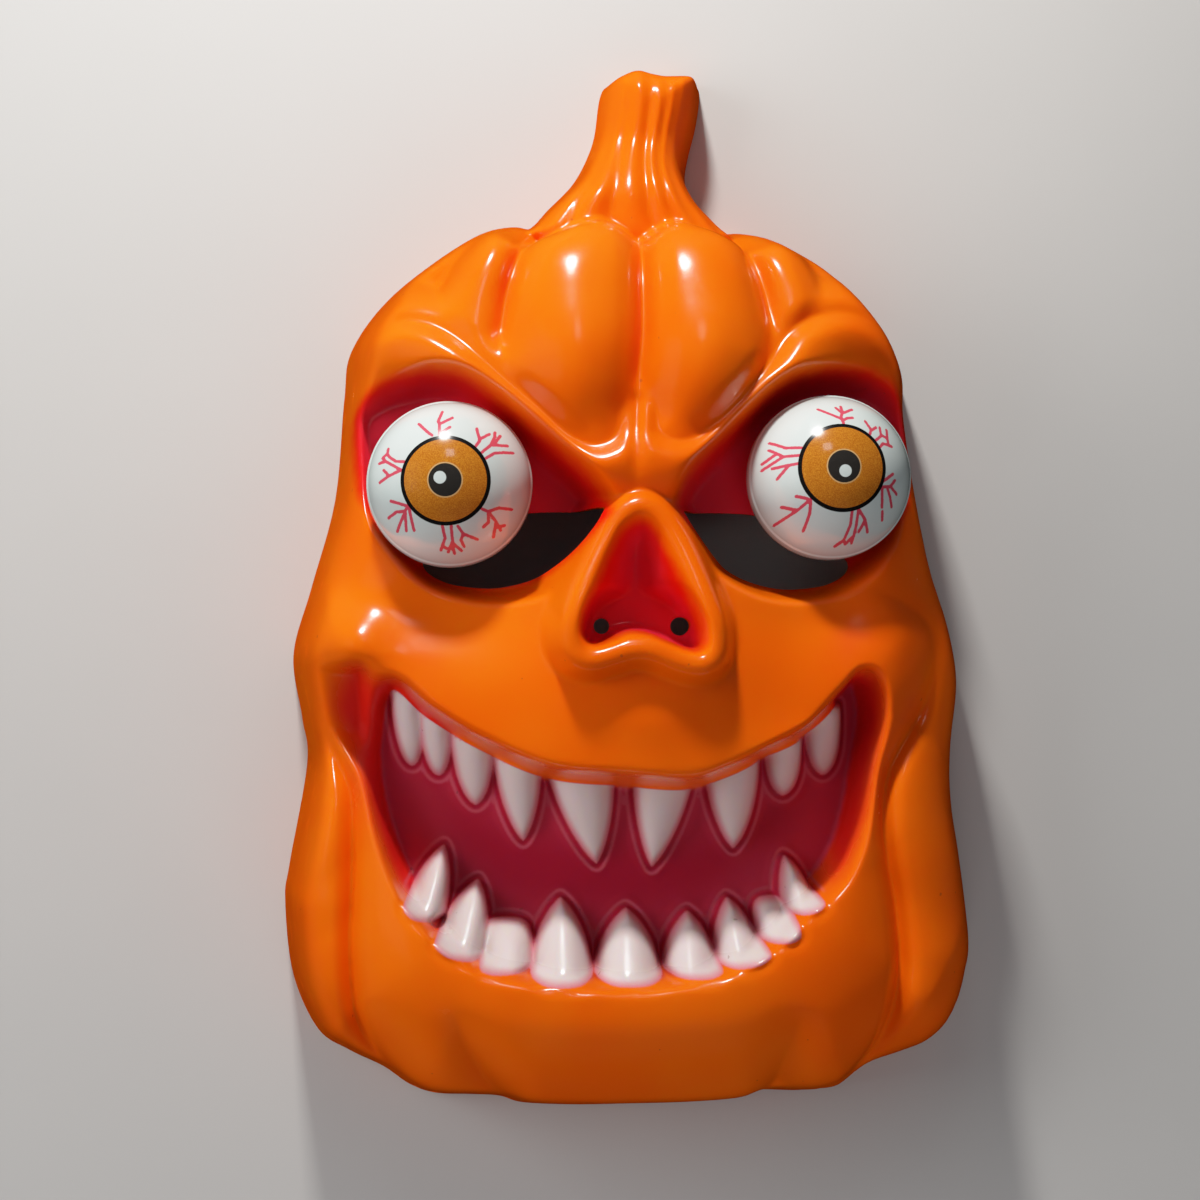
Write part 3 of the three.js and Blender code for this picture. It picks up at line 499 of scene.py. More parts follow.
    def spacing(self, height: Array, tolerance: float, finest: float, coarsest: float) -> Array:
        """Distance that facets may span at each node so that they stay within a tolerance.

        Args:
            height: heights of the surface to be faceted.
            tolerance: largest gap between a facet and the surface, in mm.
            finest: smallest spacing, in mm.
            coarsest: largest spacing, in mm.

        Returns:
            The spacing at each node.
        """
        slope_y, slope_x = np.gradient(height, self.step)
        bend_yy, bend_yx = np.gradient(slope_y, self.step)
        bend_xx = np.gradient(slope_x, self.step, axis=1)
        bend = np.sqrt(bend_xx**2 + 2 * bend_yx**2 + bend_yy**2)
        lean = np.sqrt(1 + slope_x**2 + slope_y**2)
        span = np.sqrt(8 * tolerance * lean / np.maximum(bend, 1e-6))
        padded = np.pad(span, 1, "edge")
        rows, columns = span.shape
        around = [padded[i:i + rows, j:j + columns] for i in range(3) for j in range(3)]
        return clip(np.minimum.reduce(around), finest, coarsest)


@dataclass
class PumpkinFace:
    """Relief of the mask: a ribbed pumpkin with brows, sockets, nose, grin and teeth.

    Places and heights are in mm. The lines of rolls and grooves carry a crest's height or a groove's depth
    as their third value. A Ramp says between which places a form comes in.
    """

    head_reach: float = 70
    outline_reach: float = 45
    far_outside: float = -99.0
    dome_start: float = 20
    dome_edge: float = 3.5
    dome_reach: float = 57
    end_fullness: float = 15
    top_end: Ramp = Ramp(80, 110)
    chin_end: Ramp = Ramp(-100, -135)
    dome_top: float = 66
    dome_fullness: float = 2.3
    crown_up: Ramp = Ramp(20, 70, high=8)
    crown_across: Ramp = Ramp(70, 20)
    forehead: Ramp = Ramp(60, 95, high=3)
    side_slope: float = 6
    side_height: float = 24
    side_lean: Ramp = Ramp(-136, -156, 4, 6)
    shoulder_round: float = 4
    side_join: float = 6
    notch: float = 8
    notch_reach: float = 13
    notch_sharpness: float = 1.6
    notch_half: float = 45
    notch_zone: Ramp = Ramp(92, 106)
    saddle_middle: Point = (-1, 34)
    saddle_spread: Point = (9, 5.3)
    saddle_height: float = 77.5
    saddle_join: float = 4
    socket_floor: Ramp = Ramp(42, 15, 36, 44)
    socket_slope: float = 5.5
    socket_foot: float = 1
    socket_join: float = 4
    nose_tube: float = 4.2
    nose_crest: Ramp = Ramp(20, -18, 79, 89)
    nose_round: float = 0.9
    nose_flank: float = 3.5
    nose_dip: float = 3
    nose_join: float = 1.2
    cavity_floor: float = 61
    cavity_slope: Ramp = Ramp(-4, -14, 2.4, 12.4)
    cavity_lip: float = 2
    cavity_flare: float = 10
    cavity_foot: float = 4
    cavity_join: float = 2
    mouth_floor_height: float = 47
    mouth_floor_drop: float = 15
    mouth_half: float = 80
    mouth_slope: float = 8
    mouth_round: float = 2.5
    corner_across: Ramp = Ramp(-74, -88)
    corner_up: Ramp = Ramp(-78, -45)
    corner_top: Ramp = Ramp(-20, -29)
    corner_slope: float = 6.7
    corner_round: float = 4
    upper_rise: Point = (4, 15)
    lower_rise: Point = (9, 26)
    lower_proud: float = 1.6
    proud_join: float = 2.5
    lip_fade: float = 6
    lip_margin: float = 0.1
    foot_cut: float = 1.4
    foot_seam: float = 0.7
    foot_zone: Ramp = Ramp(-78, -84)
    gum_rise: float = 1.1
    gum_reach: float = 3.8
    gum_line: float = 0.9
    stem_height: Ramp = Ramp(148, 122, 28, 37)
    stem_reach: float = 15
    stem_span: float = 90
    stem_edge: float = 1
    stem_fullness: float = 2.2
    stem_side: float = 4
    stem_join: float = 1.5
    stem_start: float = 95
    flutes: int = 8
    flute_depth: float = 2.3
    flute_sway: float = 0.5
    sway_rate: float = 2.4
    flute_twist: float = 0.3
    twist_from: float = 130
    twist_length: float = 20
    flute_edge: Ramp = Ramp(0, 5)
    flute_end: Ramp = Ramp(178, 150)
    mould_radius: float = 0.9
    swellings: Sequence[Point] = (
        (0, -60, 60, 45, 5), (0, -140, 62, 34, 8), (0, -30, 42, 30, 10.5), (0, -46, 34, 14, 3),
    )
    lobes: Sequence[Point] = ((-20, 58, 15, 24, 7), (17.5, 59, 15, 24, 7))
    cheeks: Sequence[Point] = (
        (-58, -12, 26, 14, -7), (58, -12, 26, 14, -7), (-90, -20, 12, 11, 9), (76, -15, 14, 13, 5),
    )
    rib_cut: Cut = Cut(10, 1.6, 0.5)
    rib_seam: Cut = Cut(3.5, 1.3, 0.25)
    rib_reach: float = 22
    rib_swell: float = 0.6
    bridge_cut: Cut = Cut(3.5, 1.3)
    brow_cut: Cut = Cut(6.5, 1.6)
    fold_cut: Cut = Cut(5, 1.5, 0.25)
    fold_reach: float = 22
    fold_swell: float = 0.8
    chin_cut: Cut = Cut(14, 2.1)
    brow_roll: Roll = Roll(20, 2.5)
    brow_drop: float = 5
    brow_step: float = 1
    turn_roll: Roll = Roll(4, 1.5)
    smile_roll: Roll = Roll(16, 4)
    upper_lip_roll: Roll = Roll(30, 5)
    lower_lip_roll: Roll = Roll(60, 8)
    rib_grooves: Sequence[Sequence[Point]] = (
        ((0.5, 125, 15), (0.4, 112, 15), (0, 95, 12), (-0.3, 75, 10), (-1.6, 62, 8), (-2.4, 50, 6)),
        ((-24, 122, 14), (-29, 112, 14), (-36, 104, 13), (-41, 89, 11), (-43.5, 75, 9), (-46, 64, 7)),
        ((-50, 120, 18), (-56.2, 110, 20), (-62.7, 99, 20), (-68.5, 87, 17), (-73.3, 78.5, 13)),
        ((22, 122, 14), (25, 116, 14), (32, 107, 13), (37, 93, 11), (39.5, 80, 9), (40.5, 68, 7)),
        ((48, 120, 18), (56, 110, 20), (60, 100, 20), (62.5, 90.4, 16), (63.5, 82.4, 12)),
    )
    brows: Sequence[Sequence[Point]] = (
        (
            (-90.5, 46, 42), (-90, 58, 46), (-86.1, 67, 53), (-78.9, 71.2, 59), (-70.5, 71.6, 63),
            (-62, 67.9, 66.5), (-50.6, 59.6, 71), (-29.3, 39.3, 76), (-21, 34.5, 76.6), (-14, 32.6, 77),
        ),
        (
            (87, 48, 42), (85.5, 60, 46), (79, 70.6, 53), (69.9, 75.4, 59), (60.9, 76.4, 63),
            (51, 72, 66.5), (42, 61, 71), (23.5, 40.5, 76), (16, 36, 76.8), (10.5, 34.5, 77),
        ),
    )
    brow_turns: Sequence[Sequence[Point]] = (
        ((-14, 32.6, 76.5), (-9, 34.3, 76.8), (-5.6, 38.5, 76.3), (-4.9, 46, 74.5), (-4.4, 56, 70)),
        ((10.5, 34.5, 76.5), (4.5, 36, 76.8), (0.8, 41, 76.3), (0.2, 48, 74.5), (0.6, 58, 69)),
    )
    bridge_groove: Sequence[Point] = ((-2.6, 52, 2), (-3.2, 40, 2.4), (-3.4, 33, 1.4), (-3.3, 27, 0.4))
    brow_creases: Sequence[Sequence[Point]] = (
        (
            (-93, 62, 1), (-87.3, 71.7, 2.6), (-78.2, 77.3, 3.4), (-67.7, 77.5, 3.8), (-57.5, 72.3, 4),
            (-46, 61.5, 4.2), (-32, 49.3, 4.4), (-24.4, 41.7, 4.4), (-18.8, 38.5, 4.2),
            (-14.7, 37.9, 4), (-10.6, 39.3, 3.6), (-7.9, 42.3, 3), (-6.8, 47.3, 2), (-5.6, 56.4, 0.5),
        ),
        (
            (87, 66, 1), (77.5, 76.5, 2.6), (68.2, 81.5, 3.4), (57.5, 81.5, 3.8), (46.5, 75.9, 4),
            (39.4, 66.5, 4.2), (27.1, 51.1, 4.4), (17.1, 42, 4.4), (11.5, 39.6, 4), (7.4, 39.9, 3.6),
            (3.9, 41.4, 3), (3, 45.5, 2.2), (2.6, 56, 0.5),
        ),
    )
    sockets: Sequence[Sequence[Point]] = (
        (
            (-86.6, 50), (-81.5, 55.2), (-74, 58), (-62.2, 58.9), (-49.9, 53.4), (-25.7, 32.8),
            (-16.6, 23.8), (-12.3, 18.8), (-13, 15.1), (-20.8, 4.5), (-31.4, -2.1), (-43.6, -4.6),
            (-53.7, -4), (-65, 0), (-75.9, 10), (-82.5, 20), (-85.7, 35),
        ),
        (
            (84, 49), (79, 57.6), (68.8, 61.5), (55.5, 60), (42.2, 53.5), (20, 32.3), (13.8, 23),
            (12.6, 18.5), (16.8, 10.9), (25.2, 3.2), (36.2, -1.9), (48.9, -3.8), (60.1, -2.2),
            (71.5, 5.2), (80, 17), (84.3, 34),
        ),
    )
    nose_ring: Sequence[Point] = (
        (-1.4, 19.4), (-8, 16.2), (-13.2, 7), (-18.2, -3.6), (-22, -14), (-23, -20.5), (-21.4, -25),
        (-17.6, -26.8), (-12.8, -25.8), (-5.5, -23.6), (1, -24), (8, -26.8), (14.5, -28), (18.6, -25),
        (18.5, -16.4), (15.2, -6.2), (10.5, 6.4), (5.2, 15.4),
    )
    nose_cavity: Sequence[Point] = (
        (-1.5, 15.8), (-7.4, 12.8), (-11.8, 5.4), (-16.2, -4.9), (-19.4, -13.7), (-19.7, -19.5),
        (-17, -22.2), (-12.6, -21.5), (-6, -18.8), (-0.1, -19.2), (5.8, -21.6), (12.6, -24),
        (16.1, -23.1), (16.1, -16.5), (12.4, -7), (7.3, 4), (2.9, 12.8),
    )
    smile_folds: Sequence[Sequence[Point]] = (
        (
            (-93, -19, 58), (-99, -22, 54), (-101, -28, 52), (-98.5, -36, 51),
            (-94.5, -44, 51), (-89.5, -55, 52), (-86, -65, 53), (-83.5, -75, 55), (-80.5, -88, 58),
            (-75, -102, 61), (-66, -114, 64),
        ),
        (
            (79, -19, 58), (84.5, -22, 55), (86, -28, 53), (84, -36, 51.5),
            (80, -44, 51), (75, -52, 52), (69.5, -63, 54), (65, -76, 57), (62, -90, 60),
            (58, -103, 63), (50, -114, 66),
        ),
    )
    side_creases: Sequence[Sequence[Point]] = (
        (
            (-97, -9, 1.5), (-103.5, -14, 3), (-105.5, -21, 4), (-104.5, -28, 5), (-101, -38, 7),
            (-97, -49, 10), (-92.5, -58, 12), (-89.2, -66, 13.5), (-88.3, -77, 14.5), (-88.3, -95, 15),
            (-88.7, -114, 15), (-87, -133, 15), (-82, -145, 14), (-76.5, -153, 13), (-72, -160, 12),
        ),
        (
            (74, -5.5, 1.5), (81, -8, 3), (88.6, -12.5, 4), (91.9, -18.5, 5), (92, -25, 6),
            (90.5, -34, 8), (86.5, -43, 10), (80, -53, 11), (75.8, -62, 11.5), (74.3, -75, 11.5),
            (75.5, -87, 12), (78, -101, 12), (79, -117, 12.5), (77.5, -131, 12.5), (74.5, -144, 13),
            (70.5, -153, 13), (66, -161, 12),
        ),
    )
    chin_creases: Sequence[Sequence[Point]] = (
        ((-40, -170, 13), (-42, -162, 14), (-47, -153, 10), (-53, -141, 5), (-57, -130, 1)),
        ((44, -169, 13), (43, -161, 14), (43, -151, 9), (45, -140, 4), (47, -130, 0)),
    )
    upper_lip: Sequence[Point] = (
        (-92, -28, 50), (-79, -31, 57), (-66, -40, 64), (-53, -47, 69), (-26, -56, 76), (0, -59, 78.5),
        (31.5, -55, 76), (47, -48.3, 72), (63.5, -35.5, 66), (75, -25.5, 59), (86, -22, 52),
    )
    lower_lip: Sequence[Point] = (
        (-84, -84, 57), (-76, -96, 62), (-68, -107, 67), (-52.5, -120, 71), (-33.5, -125, 73.5),
        (-6, -126.8, 74.5), (16, -125, 74), (32.5, -120, 72.5), (45, -112, 70), (54, -100, 66),
        (63, -86, 59),
    )
    mouth: Sequence[Point] = (
        (-77, -35), (-66.2, -43.2), (-50.5, -52.8), (-29.7, -61.8), (-7.4, -64.2), (13.5, -65.4),
        (26, -61.5), (37.5, -56), (51, -49), (62.5, -37.5), (68.5, -32.5), (70.8, -43), (68, -57),
        (64.6, -74.6), (59.5, -87), (53.5, -94), (46, -99), (38, -107), (28, -113.5), (13, -118),
        (-6, -119.7), (-32, -118), (-49.5, -113.5), (-62.3, -103.5), (-70.5, -93), (-75.6, -82),
        (-79.8, -67.4), (-80.9, -51),
    )
    upper_teeth: Sequence[Tooth] = (
        Tooth((-72.5, -34), (-70.5, -58.5), 5.4, 3.4), Tooth((-63.5, -40.5), (-62.2, -61.5), 5.3, 3.4),
        Tooth((-52, -48.5), (-50.6, -70.5), 6.8, 2.9), Tooth((-38, -55), (-36, -81.5), 7.8, 2.2),
        Tooth((-18.6, -58.5), (-13.4, -88.5), 10.8, 1.9), Tooth((7.2, -59.5), (3.6, -89.5), 10.1, 1.9),
        Tooth((28.4, -58), (29.2, -84), 9.1, 2.2), Tooth((44.8, -51.5), (45.2, -67.8), 6.3, 3.2),
        Tooth((57.6, -42.5), (58.4, -61.5), 6.5, 3.2),
    )
    lower_teeth: Sequence[Tooth] = (
        Tooth((-66.9, -104.4), (-60.4, -82.5), 6.7, 2.1), Tooth((-56, -115.3), (-49.8, -93), 8.3, 2),
        Tooth((-41.2, -119.8), (-41.4, -104.4), 8.4, 6), Tooth((-24.6, -123.2), (-24.6, -98.4), 10, 2),
        Tooth((-4.4, -123.2), (-4.6, -101.6), 10.6, 2), Tooth((14.6, -121.2), (14.4, -102.6), 8.8, 2),
        Tooth((30, -117.8), (26.8, -98.6), 7.9, 2), Tooth((40.7, -110.9), (39.6, -98.2), 5.7, 4.5),
        Tooth((49.3, -102.4), (45.2, -86), 5.6, 2.1),
    )
    relief: Relief = field(default_factory=lambda: Relief(-118, -175, 0.5, 473, 709))
    edges: dict[str, Array] = field(default_factory=dict)

    def raise_dome(self) -> None:
        """The bulging front: crown, muzzle, upper lip and chin stand out."""
        r = self.relief
        crown = self.crown_up.at(r.y) * self.crown_across.at(np.abs(r.x))
        rise = self.dome_top + crown + r.swelling(self.swellings) - self.dome_start
        reach = self.dome_reach - self.end_fullness * (self.top_end.at(r.y) + self.chin_end.at(r.y))
        t = clip((self.edges["head"] - self.dome_edge) / reach, 0, 1)
        r.height = self.dome_start + rise * np.sqrt(1 - (1 - t) ** self.dome_fullness)
        r.height += self.forehead.at(r.y)

    def raise_bridge(self) -> None:
        """The saddle between the brows, where each brow turns up along the middle groove."""
        r = self.relief
        (x, y), (spread_x, spread_y) = self.saddle_middle, self.saddle_spread
        saddle = self.saddle_height - ((r.x - x) / spread_x) ** 2 - ((r.y - y) / spread_y) ** 2
        r.height = soft_max(r.height, saddle, self.saddle_join)
        for turn in self.brow_turns:
            r.roll(turn, self.turn_roll)
        r.groove(self.bridge_groove, self.bridge_cut)

    def sink_sockets(self) -> None:
        """Steep sockets with a floor that rises towards the nose."""
        r = self.relief
        self.edges["socket"] = np.full(r.height.shape, self.far_outside)
        for outline in self.sockets:
            inside = r.depth_inside(smooth_line(outline, True), self.outline_reach)
            rise = self.socket_slope * np.maximum(self.socket_foot - inside, 0)
            r.height = soft_min(r.height, self.socket_floor.at(np.abs(r.x)) + rise, self.socket_join)
            self.edges["socket"] = np.maximum(self.edges["socket"], inside)

    def raise_nose(self) -> None:
        """The ring of the nose and the hollow inside it."""
        r = self.relief
        ring = r.depth_inside(smooth_line(self.nose_ring, True), self.outline_reach)
        cavity = r.depth_inside(smooth_line(self.nose_cavity, True), self.outline_reach)
        crest = self.nose_crest.at(r.y)
        gap, tube = np.abs(ring), self.nose_tube
        round_part = np.minimum(gap, self.nose_round * tube)
        drop = tube - np.sqrt(tube**2 - round_part**2) + self.nose_flank * (gap - round_part)
        drop = np.where(ring > 0, np.minimum(drop, self.nose_dip), drop)
        r.height = soft_max(r.height, crest - drop, self.nose_join)
        wall = crest - self.cavity_lip - self.cavity_slope.at(r.y) * np.maximum(cavity, 0)
        wall += self.cavity_flare * np.maximum(-cavity, 0)
        hollow = soft_max(wall, self.cavity_floor, self.cavity_foot)
        r.height = soft_min(r.height, hollow, self.cavity_join)
        self.edges["nose"] = cavity

    def mouth_floor(self) -> Array:
        """Height of the mouth's floor, which drops to the sides."""
        return self.mouth_floor_height - self.mouth_floor_drop * (self.relief.x / self.mouth_half) ** 2

    def sink_mouth(self) -> None:
        """The recessed grin between the lips, with a gentler wall in the left corner."""
        r = self.relief
        inside = r.depth_inside(smooth_line(self.mouth, True), self.outline_reach)
        corner = self.corner_across.at(r.x) * self.corner_up.at(r.y) * self.corner_top.at(r.y)
        wall = (self.mouth_slope - self.corner_slope * corner) * np.maximum(-inside, 0)
        join = self.mouth_round + self.corner_round * corner
        r.height = soft_min(r.height, self.mouth_floor() + wall, join)
        self.edges["mouth"] = inside

    def raise_teeth(self) -> None:
        """Rounded teeth with a thin raised line round each. The lower ones stand before the lip."""
        r = self.relief
        floor, bare = self.mouth_floor(), r.height.copy()
        self.edges["tooth"] = np.full(r.height.shape, self.far_outside)
        for tooth in (*self.upper_teeth, *self.lower_teeth):
            inside = r.depth_inside(tooth.outline(), tooth.half + self.gum_reach)
            rootward = clip((r.y - tooth.tip[1]) / (tooth.root[1] - tooth.tip[1]), 0, 1)
            low, high = self.lower_rise if tooth.lower else self.upper_rise
            rise = low + (high - low) * rootward
            gum = self.gum_rise * np.exp(-(((inside + self.gum_reach / 2) / self.gum_line) ** 2))
            gum *= (inside < 0) & (inside > -self.gum_reach)
            base = bare if tooth.lower else floor
            proud = soft_max(floor + rise - base, self.lower_proud, self.proud_join if tooth.lower else 0)
            surface = base + tooth.crown(r.x, r.y) * (inside > 0) * proud
            r.height = np.maximum(r.height, np.maximum(surface, floor + gum))
            lip = self.lip_fade * (self.edges["mouth"] + self.lip_margin)
            shown = inside if tooth.lower else np.minimum(inside, lip)
            self.edges["tooth"] = np.maximum(self.edges["tooth"], shown)
        seam = np.exp(-(((self.edges["tooth"] + self.foot_seam) / self.foot_seam) ** 2))
        r.height -= self.foot_cut * (seam * self.foot_zone.at(r.y))

    def trim_to_wall(self) -> None:
        """The side wall rises steeply from the rim, more gently at the chin."""
        r = self.relief
        head = self.edges["head"].copy()
        for groove in self.rib_grooves:
            line = smooth_line([(x, y, abs(x) < self.notch_half) for x, y, _ in groove], False)
            gap, behind_stem = r.near_line(line, False, self.notch_reach)
            cut = (1 - gap / self.notch_reach) ** self.notch_sharpness
            head -= self.notch * behind_stem * cut * self.notch_zone.at(r.y)
        shoulder_start = self.side_height / self.side_slope
        shoulder = self.side_height + self.side_lean.at(r.y) * (head - shoulder_start)
        limit = soft_min(self.side_slope * head, shoulder, self.shoulder_round)
        r.height = soft_min(r.height, limit, self.side_join)

    def raise_stem(self) -> None:
        """The fluted half-round stem behind the crown."""
        r = self.relief
        outline = smooth_line([*STEM_RIGHT, *STEM_CUT, *STEM_LEFT, *STEM_ROOT], True)
        inside = r.depth_inside(outline, self.outline_reach)
        sides = [STEM_ROOT[-1], *STEM_RIGHT], [*STEM_LEFT, STEM_ROOT[0]]
        right, left = (r.near_line(smooth_line(side, False), False, self.stem_span)[0] for side in sides)
        across = left / (left + right)
        turn = across * self.flutes + self.flute_sway * np.sin(self.sway_rate * math.pi * across)
        turn += self.flute_twist * (r.y - self.twist_from) / self.twist_length
        wave = np.abs(np.sin(math.pi * turn))
        fade = self.flute_edge.at(inside) * self.flute_end.at(r.y)
        t = clip(inside / self.stem_reach, 0, 1)
        swell = np.sqrt(1 - (1 - t) ** self.stem_fullness)
        body = self.stem_edge + (self.stem_height.at(r.y) - self.stem_edge) * swell
        fluted = body - self.flute_depth * fade * (1 - wave)
        stem = soft_min(fluted, self.side_slope * inside, self.stem_side)
        r.height = np.where(r.y < self.stem_start, r.height, soft_max(r.height, stem, self.stem_join))

    def sculpt(self) -> None:
        """Works out the whole relief, feature after feature."""
        r = self.relief
        head = smooth_line([*HEAD_RIGHT, *HEAD_TOP, *HEAD_LEFT], True)
        self.edges["head"] = r.depth_inside(head, self.head_reach)
        self.raise_dome()
        r.height += r.swelling(self.lobes)
        for groove in self.rib_grooves:
            r.groove(groove, self.rib_cut)
            r.groove(groove, self.rib_seam)
        r.cushion([*self.rib_grooves, *self.brow_creases], self.rib_reach, self.rib_swell)
        for brow in self.brows:
            under = [(x, y - self.brow_drop, crest - self.brow_step) for x, y, crest in brow[2:-2]]
            r.roll(brow, self.brow_roll)
            r.roll(under, self.brow_roll)
        self.raise_bridge()
        for crease in self.brow_creases:
            r.groove(crease, self.brow_cut)
        r.height += r.swelling(self.cheeks)
        for fold in self.smile_folds:
            r.roll(fold, self.smile_roll)
        r.roll(self.upper_lip, self.upper_lip_roll)
        r.roll(self.lower_lip, self.lower_lip_roll)
        r.cushion(self.side_creases, self.fold_reach, self.fold_swell)
        for crease in self.side_creases:
            r.groove(crease, self.fold_cut)
        for crease in self.chin_creases:
            r.groove(crease, self.chin_cut)
        self.sink_sockets()
        self.raise_nose()
        self.sink_mouth()
        self.raise_teeth()
        self.trim_to_wall()
        self.raise_stem()
        r.height = r.blurred(self.mould_radius)


@dataclass
class Sheet:
    """One face of the moulded sheet, as a net of triangles between outlines."""

    relief: Relief
    height: Array
    rim: Array
    holes: Sequence[Array]
    tolerance: float
    finest: float
    coarsest: float
    outline_gap: Array
    outline_half: float = 0.8
    fill: float = 1.5
    edge_reach: float = 4
    clearance: float = 0.45
    weld: float = 1e-6
    points: Array = field(init=False)
    triangles: Array = field(init=False)

    def lattice(self) -> Array:
        """Picks grid nodes inside the outlines, closest where the relief bends most.

        Returns:
            The nodes, x and y in mm, one row each.
        """
        r = self.relief
        span = r.spacing(self.height, self.tolerance, self.finest, self.coarsest)
        span = np.where(np.abs(self.outline_gap) < self.outline_half, self.finest, span)
        keep = np.zeros(span.shape, bool)
        stride = 1
        while stride * r.step <= self.coarsest:
            level = np.zeros(span.shape, bool)
            level[::stride, ::stride] = span[::stride, ::stride] < self.fill * stride * r.step
            keep |= level
            stride *= 2
        stride //= 2
        keep[::stride, ::stride] = True
        keep &= r.depth_inside(self.rim, self.edge_reach) > self.clearance
        for hole in self.holes:
            keep &= r.depth_inside(hole, self.edge_reach) < -self.clearance
        return np.column_stack([r.x[keep], r.y[keep]])

    def build(self) -> None:
        """Joins outlines and nodes into triangles."""
        loops = [self.rim, *self.holes]
        pairs, start = [], 0
        for loop in loops:
            count = len(loop)
            pairs += [(start + k, start + (k + 1) % count) for k in range(count)]
            start += count
        flat = np.vstack([*loops, self.lattice()])
        made = delaunay_2d_cdt([Vector(p) for p in flat.tolist()], pairs, [], 0, self.weld)
        order = np.array([origin[0] for origin in made[3]])
        triangles = order[np.array(made[2])]
        centres = flat[triangles].mean(axis=1)
        inside = points_inside(self.rim, centres)
        for hole in self.holes:
            inside &= ~points_inside(hole, centres)
        self.triangles = triangles[inside]
        self.points = np.column_stack([flat, self.relief.sample(self.height, flat)])
        self.points[:len(self.rim), 2] = 0

    def loop_starts(self) -> list[tuple[int, int]]:
        """Finds where each outline's points start.

        Returns:
            First point and number of points of the rim and of each hole.
        """
        starts, start = [], 0
        for loop in (self.rim, *self.holes):
            starts.append((start, len(loop)))
            start += len(loop)
        return starts


@dataclass
class MaskShell:
    """The moulded sheet of the mask, with its slots, nostrils and paint."""

    face: PumpkinFace
    shift: Array
    wall: float = 1.4
    rim_spacing: float = 1.3
    slot_spacing: float = 1.0
    nostril_sides: int = 32
    tolerance: float = 0.037
    finest: float = 0.5
    inner_tolerance: float = 0.13
    inner_finest: float = 1
    coarsest: float = 4
    unpainted: float = 99.0
    paint_reach: float = 28
    slot: Sequence[Point] = (
        (13.3, 17.5), (14.5, 20.2), (36, 20.2), (41, 16), (46, 11), (54, 8), (63, 8.5), (67.5, 6),
        (66, 2), (60, -1.3), (52, -2.8), (43, -2.9), (33, -0.4), (25, 4), (18.5, 10),
    )
    nostrils: Sequence[Point] = ((-12.8, -15.7, 2.4), (11, -15.7, 2.8))

    def holes(self) -> list[Array]:
        """Draws the look-through slots and the nostrils.

        Returns:
            Their outlines, all anticlockwise.
        """
        mirrored = [(-x, y) for x, y in self.slot]
        loops = [even_loop(points, self.slot_spacing) for points in (self.slot, mirrored)]
        loops += [circle(*nostril, self.nostril_sides) for nostril in self.nostrils]
        return [loop if signed_area(loop) > 0 else loop[::-1] for loop in loops]

    def build(self) -> bpy.types.Object:
        """Makes the closed mesh: outer face, inner face, rim and cut edges.

        Returns:
            The mask as one object, with paint attributes on its points.
        """
        relief = self.face.relief
        rim = even_loop([*HEAD_RIGHT, *STEM_RIGHT, *STEM_CUT, *STEM_LEFT, *HEAD_LEFT], self.rim_spacing)
        holes = self.holes()
        inner_rim = inset(rim, self.wall * math.hypot(1, 1 / self.face.side_slope))
        crisp = self.face.edges["tooth"]
        plain = np.full(relief.height.shape, self.unpainted)
        outer = Sheet(
            relief, relief.height, rim, holes, self.tolerance, self.finest, self.coarsest, crisp,
        )
        inner = Sheet(
            relief, relief.eroded(self.wall), inner_rim, holes, self.inner_tolerance, self.inner_finest,
            self.coarsest, plain,
        )
        outer.build()
        inner.build()
        LOG.info("outer face %d points, inner face %d", len(outer.points), len(inner.points))
        offset = len(outer.points)
        faces = [outer.triangles, inner.triangles[:, ::-1] + offset]
        seams = []
        for number, (start, count) in enumerate(outer.loop_starts()):
            top = start + np.arange(count)
            after = start + (np.arange(count) + 1) % count
            wall = [after, top, top + offset, after + offset]
            if number > 0:
                wall = [top, after, after + offset, top + offset]
            a, b, c, d = wall
            faces += [np.column_stack([a, b, c]), np.column_stack([a, c, d])]
            seams += [np.column_stack([top, after]), np.column_stack([top, after]) + offset]
        points = np.vstack([outer.points, inner.points])
        piece = mesh_object("painted_mask_shell", self.placed(points), np.vstack(faces))
        mark_sharp(piece.data, np.vstack(seams))
        self.paint(piece.data, points, offset)
        piece.data.materials.append(MouldedOrange().material())
        return piece

    def placed(self, points: Array) -> Array:
        """Moves points into the frame, in metres, within the box of the solids."""
        low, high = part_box("mask_shell")
        return clip((points + self.shift) * MM, np.array(low), np.array(high))

    def paint(self, mesh: bpy.types.Mesh, points: Array, outer_count: int) -> None:
        """Keeps the distance in mm to the edge of each painted place.

        Args:
            mesh: the mesh that keeps the distances.
            points: its points in mm.
            outer_count: number of points of the outer face, the only one that is painted.
        """
        relief, edges = self.face.relief, self.face.edges
        for name in ("tooth", "mouth", "socket", "nose"):
            distance = relief.sample(clip(edges[name], -self.paint_reach, self.paint_reach), points)
            distance[outer_count:] = -self.paint_reach
            store(mesh, f"{name}_edge", distance)


def mesh_object(name: str, points: Array, triangles: Array) -> bpy.types.Object:
    """Makes a smooth-shaded object.

    Args:
        name: name of the object and its mesh.
        points: places in metres, one row each.
        triangles: three point numbers for each face.

    Returns:
        The object, in the scene.
    """
    mesh = bpy.data.meshes.new(name)
    mesh.from_pydata(points.tolist(), [], triangles.tolist())
    mesh.polygons.foreach_set("use_smooth", np.ones(len(mesh.polygons), bool))
    mesh.update()
    piece = bpy.data.objects.new(name, mesh)
    bpy.context.scene.collection.objects.link(piece)
    return piece


